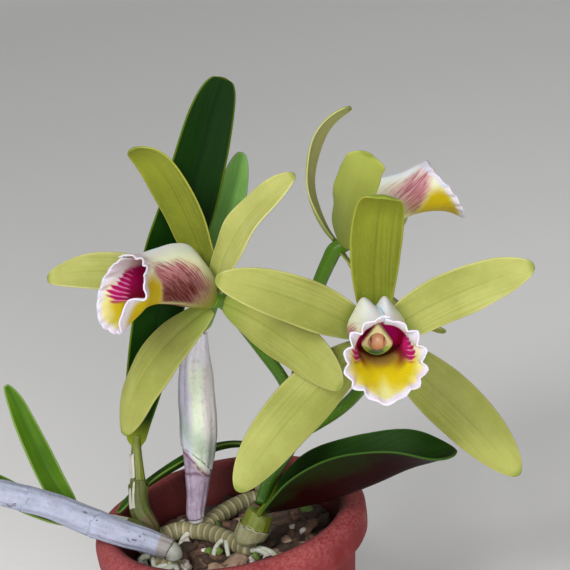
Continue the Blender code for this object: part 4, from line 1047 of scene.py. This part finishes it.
def makeSheath(name, shape, sheath, phase):
    # A dry sheath that wraps its bulb between two shares of the length, with a torn upper
    # edge, a slanting foot and one side wound over the other
    start, end, lift, tear, wrap, centre, slant, paper = sheath
    look = bulbShape
    cols, fine = look["sheathCols"], look["fine"]
    line, girth, length = bulbLine(shape, np.linspace(0, 1, fine))
    s = start + (end - start) * endSteps(look["sheathRows"], 0.4)
    share = (s - start)[:, None] / (end - start)
    way = np.radians(centre + np.linspace(-wrap / 2, wrap / 2, cols))
    torn = np.sin(2 * way + phase[0]) + 0.5 * np.sin(5 * way + phase[1]) + 0.3 * np.sin(13 * way + phase[2]) - 1
    at = np.clip(start + (end - start) * share * (1 + tear * 0.05 * torn * share), 0, 1)
    at = at - slant / length * np.cos(way) * (1 - share) ** 3
    along = unit(np.gradient(line, distances(line), axis=0))
    aside = carriedSides(along)
    rise = np.cross(along, aside)
    low = np.clip((at * (fine - 1)).astype(int), 0, fine - 2)
    part = (at * (fine - 1) - low)[..., None]
    base, aside, rise, girth = (values[low] * (1 - part) + values[low + 1] * part
                                for values in (line, aside, rise, girth[:, None]))
    curl = lift + np.linspace(0, 0.3, cols) + 0.5 * tear * share ** 8 + 0.1 * np.sin(9 * way + 4 * share)
    radius = girth * (1 + 0.02 * np.cos(11 * way))[:, None] + curl[..., None]
    middle = base + radius * (np.cos(way)[:, None] * aside + np.sin(way)[:, None] * rise)
    down = (at - start) * length
    seam = np.minimum(np.arange(cols), np.arange(cols)[::-1]) * 0.3
    rim = np.minimum(np.minimum(down, down[-1] - down), seam)
    addBlade(name, [], paperSkins[paper], middle, look["sheathThick"], rim,
             stacked(share, way / 6.28, at * length))


def makeBulb(name, shape, seed):
    # A swollen cane with shallow furrows, a raised ring where each sheath ends, and a blunt tip
    sides = bulbShape["sides"]
    steps = endSteps(bulbShape["rings"], 0.3)
    path, radii, length = bulbLine(shape, steps)
    turn, far = around(sides), steps[:, None] * length
    spot = stacked(np.cos(turn) * 3, np.sin(turn) * 3, far * 0.12)
    furrow = 0.028 * np.cos(11 * turn + seed) * np.sin(np.pi * steps)[:, None] + 0.02 * waveNoise(spot, 2.6, seed)
    joints = sum(0.05 * hill(steps, sheath[1], 0.008) for sheath in shape["sheaths"])
    full = (radii * (1 + joints) * rounded(steps, 0.97, 0.03, 0.12))[:, None] * (1 + furrow)
    body = Bundle()
    body.rings(tubeRings(path, full, sides), stacked(steps[:, None], turn / (2 * np.pi), far))
    body.make(name + "_body", [name], "stem", bulbSkins[shape["skin"]])
    draw = np.random.default_rng(seed)
    for number, sheath in enumerate(shape["sheaths"]):
        makeSheath(f"{name}_sheath{number}", shape, sheath, draw.uniform(0, 6.28, 3))


for number, (name, shape) in enumerate(bulbs.items()):
    makeBulb(name, shape, 120 + number)
print("pseudobulbs made")


# Rhizome and roots

rhizome = {
    "path": [(-20, -15), (-26, -5), (-28, 6), (-20, 12), (-11, 9), (-2, -1), (6, -13)],
    "branch": [(-11, 9), (-3, 20), (6, 26), (13, 27)],
    "height": 70.0, "radius": 3.104, "scale": 3.3, "rings": 110, "sides": 28,
    "roots": 16, "rootLength": (8, 15), "rootRadius": 1.15, "reach": 31.5, "rootRings": 30, "rootSides": 12,
    # Each root's heights above the rhizome's, at shares of its length
    "rootDrop": ((0, 0.2), (0.3, 0.8), (0.65, -0.4), (1.0, -5.0)),
}


def rhizomeSurface():
    # Olive-brown scales, ringed every few millimetres
    skin = Surface("rhizome", Roughness=0.6)
    far = skin.vector("place")[2]
    ring = (far * 1.9).math("SINE") * 0.5 + 0.5
    cloud = skin.mottle(260.0, 3.0)
    skin.paint(
        (0.1, 0.1, 0.035), (cloud, (0.26, 0.22, 0.11)), (ring.ease(0.75, 1.0) * 0.6, (0.45, 0.4, 0.27)))
    skin.bump(ring * 0.5 + cloud * 0.5, 0.5)
    return skin


def rootSurface():
    # Silvery felt, greener towards the tips
    skin = Surface("roots", Roughness=0.72)
    along = skin.vector("place")[0]
    cloud = skin.mottle(420.0, 4.0, 0.6)
    skin.paint(
        (0.34, 0.35, 0.28), (cloud, (0.62, 0.62, 0.55)),
        ((cloud + along * 0.2).ease(0.62, 0.72) * 0.6, (0.26, 0.32, 0.14)))
    skin.bump(cloud, 0.35)
    return skin


def makeRhizome():
    # Two creeping stems, ringed with scales and three-ribbed, and blunt at both ends
    body, sides = Bundle(), rhizome["sides"]
    steps, turn = np.linspace(0, 1, rhizome["rings"]), around(sides)
    for line in (rhizome["path"], rhizome["branch"]):
        path = smoothPath([(x, y, rhizome["height"]) for x, y in line], steps)
        far = distances(path)[:, None]
        scales = 1 + 0.05 * ((far / rhizome["scale"]) % 1.0) + 0.025 * np.cos(3 * turn)
        blunt = rounded(np.abs(steps - 0.5), 0.48, 0.02, 0.15)[:, None]
        body.rings(tubeRings(path, rhizome["radius"] * scales * blunt, sides),
                   stacked(steps[:, None], turn / 6.28, far))
    body.make("rhizome_body", ["rhizome"], "root", rhizomeSurface())


def makeRoots(draw):
    # Lumpy roots that run out from the rhizome, bowed a little, and dive into the bark
    body, steps = Bundle(), np.linspace(0, 1, rhizome["rootRings"])
    for number in range(rhizome["roots"]):
        base = np.array(rhizome["path"][number % 7], float)
        heading = math.atan2(base[1], base[0]) + draw.uniform(-1.5, 1.5)
        end = base + draw.uniform(*rhizome["rootLength"]) * np.array([math.cos(heading), math.sin(heading)])
        end *= min(1.0, rhizome["reach"] / np.linalg.norm(end))
        bow = draw.normal(0, 1.6, 2)
        path = smoothPath([(*(base + (end - base) * share + bow * math.sin(math.pi * share)), rhizome["height"] + high)
                           for share, high in rhizome["rootDrop"]], steps)
        lumps = 1 + 0.07 * waveNoise(path, 4.0, number)
        thick = rhizome["rootRadius"] * draw.uniform(0.8, 1.15) * lumps * (1 - 0.2 * steps)
        body.rings(tubeRings(path, thick, rhizome["rootSides"]))
    body.make("roots", [], "root", rootSurface())


makeRhizome()
makeRoots(np.random.default_rng(5))
print("rhizome and roots made")


# Bark mix

bark = {
    "top": 67.0, "radius": 34.6, "chips": 210, "length": (5.0, 12.0), "chance": (0.5, 0.36, 0.14),
    "bits": 46, "bitRadius": 31, "bitSize": (0.8, 1.9), "mossSize": 1.3,
}
# Name, first and second tint, and cracks
barkTints = {
    "dark": ("darkBark", (0.03, 0.016, 0.01), (0.085, 0.045, 0.028), (0.012, 0.007, 0.004)),
    "brown": ("brownBark", (0.075, 0.036, 0.02), (0.19, 0.1, 0.06), (0.03, 0.015, 0.01)),
    "tan": ("tanBark", (0.22, 0.13, 0.08), (0.42, 0.29, 0.2), (0.1, 0.05, 0.03)),
    "pale": ("paleGrit", (0.42, 0.36, 0.32), (0.7, 0.64, 0.58), (0.35, 0.22, 0.22)),
    "moss": ("mossGrit", (0.06, 0.11, 0.015), (0.16, 0.24, 0.04), (0.02, 0.04, 0.01)),
}


def barkSurface(name, low, high, crack):
    # Cloudy bark with fine darker cracks
    skin = Surface(name, Roughness=0.85)
    layer = skin.mottle(420.0, 5.0, 0.65)
    skin.paint(
        low, (skin.mottle(110.0, 3.0).ease(0.3, 0.7), high), (layer.ease(0.5, 0.68) * 0.7, crack))
    skin.bump(layer, 0.8)
    return skin


barkSkins = {kind: barkSurface(*tints) for kind, tints in barkTints.items()}


def chipRings(centre, size, spin, seed):
    # A flat broken chip: a rounded block, its radius in each direction roughened by noise
    lat = np.linspace(0.04, np.pi - 0.04, 7)[:, None]
    lon = around(10)
    way = stacked(np.sin(lat) * np.cos(lon), np.sin(lat) * np.sin(lon), np.cos(lat))
    block = np.sign(way) * np.abs(way) ** 0.55
    rough = 1 + 0.16 * waveNoise(way * 2.0 + seed, 1.7, seed)[..., None]
    return (block * rough * size) @ spin.T + centre


def tumbled(draw, flat):
    # A drawn rotation: any heading, tipped by about the given angle
    spin, tip, roll = draw.uniform(0, 2 * np.pi), draw.normal(0, flat), draw.normal(0, flat)
    return turned(2, spin) @ turned(0, tip) @ turned(1, roll)


def makeBark(draw):
    # Chips on a sunflower spiral, lower beside the rhizome, and grit scattered over them
    buried = np.concatenate([smoothPath(rhizome["path"], np.linspace(0, 1, 60)),
                             smoothPath(rhizome["branch"], np.linspace(0, 1, 30))])
    heaps = {kind: Bundle() for kind in barkTints}
    for number in range(bark["chips"]):
        radius = (bark["radius"] - 3.5) * ((number + 0.5) / bark["chips"]) ** 0.5
        heading = number * math.pi * (3 - 5 ** 0.5)
        spot = radius * np.array([math.cos(heading), math.sin(heading)])
        gap = np.linalg.norm(buried - spot, axis=1).min()
        long = draw.uniform(*bark["length"])
        size = np.array([long, long * draw.uniform(0.45, 0.8), draw.uniform(1.6, 3.4)]) / 2
        high = bark["top"] + draw.uniform(-1.2, 1.4) - (2.6 if gap < 5.5 else 0.0)
        kind = draw.choice(["dark", "brown", "tan"], p=bark["chance"])
        heaps[kind].rings(chipRings(np.array([*spot, high]), size, tumbled(draw, 0.3), number))
    for number in range(bark["bits"]):
        radius, heading = bark["bitRadius"] * draw.uniform(0, 1) ** 0.5, draw.uniform(0, 2 * np.pi)
        high = bark["top"] + draw.uniform(1.0, 2.6)
        spot = np.array([radius * math.cos(heading), radius * math.sin(heading), high])
        kind = "pale" if number % 3 else "moss"
        size = draw.uniform(*bark["bitSize"], 3) * (1.0 if kind == "pale" else bark["mossSize"])
        heaps[kind].rings(chipRings(spot, size, tumbled(draw, 1.0), 900 + number))
    for kind, heap in heaps.items():
        name = f"grit_{kind}" if kind in ("pale", "moss") else f"bark_{kind}"
        heap.make(name, [], "bark", barkSkins[kind])


def wallRadius(height):
    # Radius of the pot's inner wall
    return 26.5 + 11.5 * (height - 6.0) / 74.0


def makeBed():
    # The bed under the chips: from the pot's floor up its wall, with a lumpy top
    profile = [(0.02, 6.3), (12, 6.3), (23.6, 6.3), (26.2, 8.3)] + [(wallRadius(z) - 0.6, z) for z in (20, 35, 50, 60)]
    profile += [(wallRadius(66) - 0.6, 65.5)] + [(r, 66.6) for r in (33.5, 30, 26, 22, 18, 14, 10, 6, 3, 0.02)]
    bed = lathe(profile, 96)
    bed[9:, :, 2] += 0.7 * waveNoise(bed[9:], 7.0, 3)
    body = Bundle()
    body.rings(bed)
    body.make("bark_bed", ["bark_mix"], "bark", barkSkins["dark"])


makeBark(np.random.default_rng(11))
makeBed()
print("bark made")


# Pot

pot = {
    "height": 80.0, "rimRadius": 47.0, "rimDepth": 13.0, "rimWidth": 9.0, "sides": 160,
    "drains": 4, "drainRadius": 4.5, "drainRing": 16.0, "drainSides": 32, "wobble": 0.12,
    "clay": (0.17, 0.014, 0.016), "pale": (0.28, 0.045, 0.048), "darkAndShade": (0.04, 0.005, 0.004),
    "salts": (0.38, 0.15, 0.14),
}


def claySurface():
    # Unglazed clay: cloudy red, darker towards the foot, and darker still down the inner wall,
    # which is painted shade; pale salts round the rim and in stains, with fine pits and the rings
    # that the wheel left
    skin = Surface("clay", Specular_IOR_Level=0.2)
    where = skin.spot()
    x, y, z = (part * 1000 for part in skin.parts(where))
    cloud, fine = skin.noise(where, 38.0, 4.0, 0.6), skin.noise(where, 900.0, 4.0, 0.6)
    squash = skin.node("ShaderNodeVectorMath", {"operation": "MULTIPLY"}, {0: where, 1: (0.15, 0.15, 1.0)})
    rings = skin.noise(squash, 420.0, 3.0)
    stain = skin.noise(where, 75.0, 5.0, 0.7).ease(0.56, 0.7) * 0.25
    # The wall's radius grows by 0.1554 a millimetre of height, from 25.6 at the floor
    radius = (x * x + y * y).math("SQRT")
    wall = (radius - z * 0.1554 - 25.6).fade(0.5, 5.0)
    # Darker towards the foot, and painted shade down the inner wall
    low = (z + (cloud - 0.5) * 60).fade(6.0, 46.0) * 0.55 + wall * 0.85
    salt = (z + (cloud - 0.5) * 26).ease(66.0, 80.0) * fine.ease(0.35, 0.65) * 0.35
    skin.paint(
        pot["clay"],
        (cloud.ease(0.3, 0.7), pot["pale"]),
        ((salt + stain).clip(), pot["salts"]),
        (low.clip(), pot["darkAndShade"]))
    skin.feed("Roughness", cloud * 0.15 + 0.68)
    skin.bump(fine * 0.5 + rings * 0.6 + stain, 0.3)
    return skin


def makePot():
    # The line runs from the middle of the foot, up the outside, over the rounded rim, and
    # down the inside to the middle of the floor. The drain holes are cut through the floor
    rim, lipHalf = pot["rimRadius"], pot["rimWidth"] / 2
    under = pot["height"] - pot["rimDepth"]
    foot = [(0.02, 0.0), (12, 0.0), (24, 0.0), (30.6, 0.0), (31.1, 0.25), (31.5, 0.8)]
    outside = [(31.8 + (rim - 5.0 - 31.8) * k / 12, 1.2 + (under - 2.7) * k / 12) for k in range(13)]
    shoulder = [(rim - back, under + up) for back, up in
                ((4.6, -1.0), (3.6, -0.3), (2.2, 0.0), (1.0, 0.5), (0.4, 1.6), (0.1, 4.5))]
    crown = [(rim - lipHalf + lipHalf * math.cos(a), pot["height"] - lipHalf + lipHalf * math.sin(a))
             for a in np.linspace(0, math.pi, 19)]
    inside = [(wallRadius(z), z) for z in (72, 66, 58, 48, 38, 28, 18, 8)]
    inside += [(25.4, 6.4), (24.5, 6.0), (16, 6.0), (8, 6.0), (0.02, 6.0)]
    rings = lathe(foot + outside + shoulder + crown + inside, pot["sides"])
    wobble = pot["wobble"] * waveNoise(rings, 45.0, 8)[..., None] * (rings * (1, 1, 0)) / rim
    wobble[rings[..., 2] < 1.5] = 0
    body = Bundle()
    body.rings(rings + wobble)
    piece = body.make("clay_pot", ["pot"], "clay", claySurface())
    drills = []
    for number in range(pot["drains"]):
        heading = math.pi / 4 + number * 2 * math.pi / pot["drains"]
        hole = lathe([(pot["drainRadius"], -2.0), (pot["drainRadius"], 8.0)], pot["drainSides"],
                     pot["drainRing"] * math.cos(heading), pot["drainRing"] * math.sin(heading))
        drill = addMesh("drill", hole.reshape(-1, 3), ringFaces(2, pot["drainSides"]))
        cut = piece.modifiers.new("Drain", "BOOLEAN")
        cut.operation, cut.solver, cut.object = "DIFFERENCE", "EXACT", drill
        drills.append(drill)
    bpy.context.view_layer.update()
    view = piece.evaluated_get(bpy.context.evaluated_depsgraph_get())
    mesh = bpy.data.meshes.new_from_object(view)
    piece.modifiers.clear()
    piece.data = mesh
    for drill in drills:
        bpy.data.objects.remove(drill, do_unlink=True)
    mesh.shade_smooth()
    mesh.set_sharp_from_angle(angle=math.radians(50))


makePot()
print("pot made")


# Floor, light and camera, with lengths in metres

studio = {
    "floor": (0.82, 0.81, 0.79), "sky": (0.94, 0.96, 1.0), "skyStrength": 0.26, "aim": (0.02, 0.0, 0.13),
    # Place, power and width of each lamp
    "lamps": {"key": ((-0.45, -0.9, 1.0), 14.0, 0.5), "fill": ((0.2, -1.4, 0.52), 13.0, 0.6)},
    # The floor's half width, front edge, where it starts to rise, the rise's radius, its top
    "half": 3.0, "front": -2.0, "back": 1.2, "sweep": 0.9, "top": 3.0,
}
# The camera looks down and is rolled, in degrees
cameraLook = {"target": (0.0327, -0.022, 0.1656), "down": 20.0, "roll": 10.0, "distance": 0.7, "lens": 138.16}


def makeFloor():
    # A sheet that lies flat, sweeps up behind by a quarter circle and ends as a wall
    back, sweep = studio["back"], studio["sweep"]
    turn = np.linspace(0.1, np.pi / 2, 14)
    run = np.r_[np.linspace(studio["front"], back, 9), back + sweep * np.sin(turn), back + sweep]
    rise = np.r_[np.zeros(9), sweep - sweep * np.cos(turn), studio["top"]]
    points = stacked(np.linspace(-studio["half"], studio["half"], 13), run[:, None], rise[:, None])
    index = np.arange(points.shape[0] * points.shape[1]).reshape(points.shape[:2])
    faces = np.stack([index[:-1, :-1], index[:-1, 1:], index[1:, 1:], index[1:, :-1]], -1).reshape(-1, 4)
    floor = addMesh("floor", points.reshape(-1, 3), faces.tolist(), 1.0)
    floor.data.shade_smooth()
    paper = Surface("floorPaper", Base_Color=studio["floor"], Roughness=0.9)
    floor.data.materials.append(paper.material)


def addLight(name, place, power, size):
    light = bpy.data.lights.new(name, "AREA")
    light.shape, light.size, light.energy = "DISK", size, power
    lamp = bpy.data.objects.new(name, light)
    lamp.location = place
    lamp.rotation_mode = "QUATERNION"
    lamp.rotation_quaternion = (Vector(studio["aim"]) - Vector(place)).to_track_quat("-Z", "Y")
    bpy.context.scene.collection.objects.link(lamp)


def makeSky():
    world = bpy.data.worlds.new("studio")
    world.use_nodes = True
    light = world.node_tree.nodes["Background"].inputs
    light["Color"].default_value = (*studio["sky"], 1.0)
    light["Strength"].default_value = studio["skyStrength"]
    bpy.context.scene.world = world


def makeCamera():
    down, roll = math.radians(cameraLook["down"]), math.radians(cameraLook["roll"])
    turn = turned(0, math.pi / 2 - down) @ turned(2, -roll)
    place = np.array(cameraLook["target"]) + cameraLook["distance"] * turn[:, 2]
    camera = bpy.data.cameras.new("camera")
    camera.lens, camera.sensor_width = cameraLook["lens"], 36.0
    camera.clip_start, camera.clip_end = 0.01, 20.0
    eye = bpy.data.objects.new("camera", camera)
    eye.matrix_world = Matrix.Translation(place.tolist()) @ Matrix(turn.tolist()).to_4x4()
    bpy.context.scene.collection.objects.link(eye)
    bpy.context.scene.camera = eye


makeFloor()
for name, lamp in studio["lamps"].items():
    addLight(name, *lamp)
makeSky()
bpy.context.scene.view_settings.view_transform = "Standard"
makeCamera()
print("studio made")
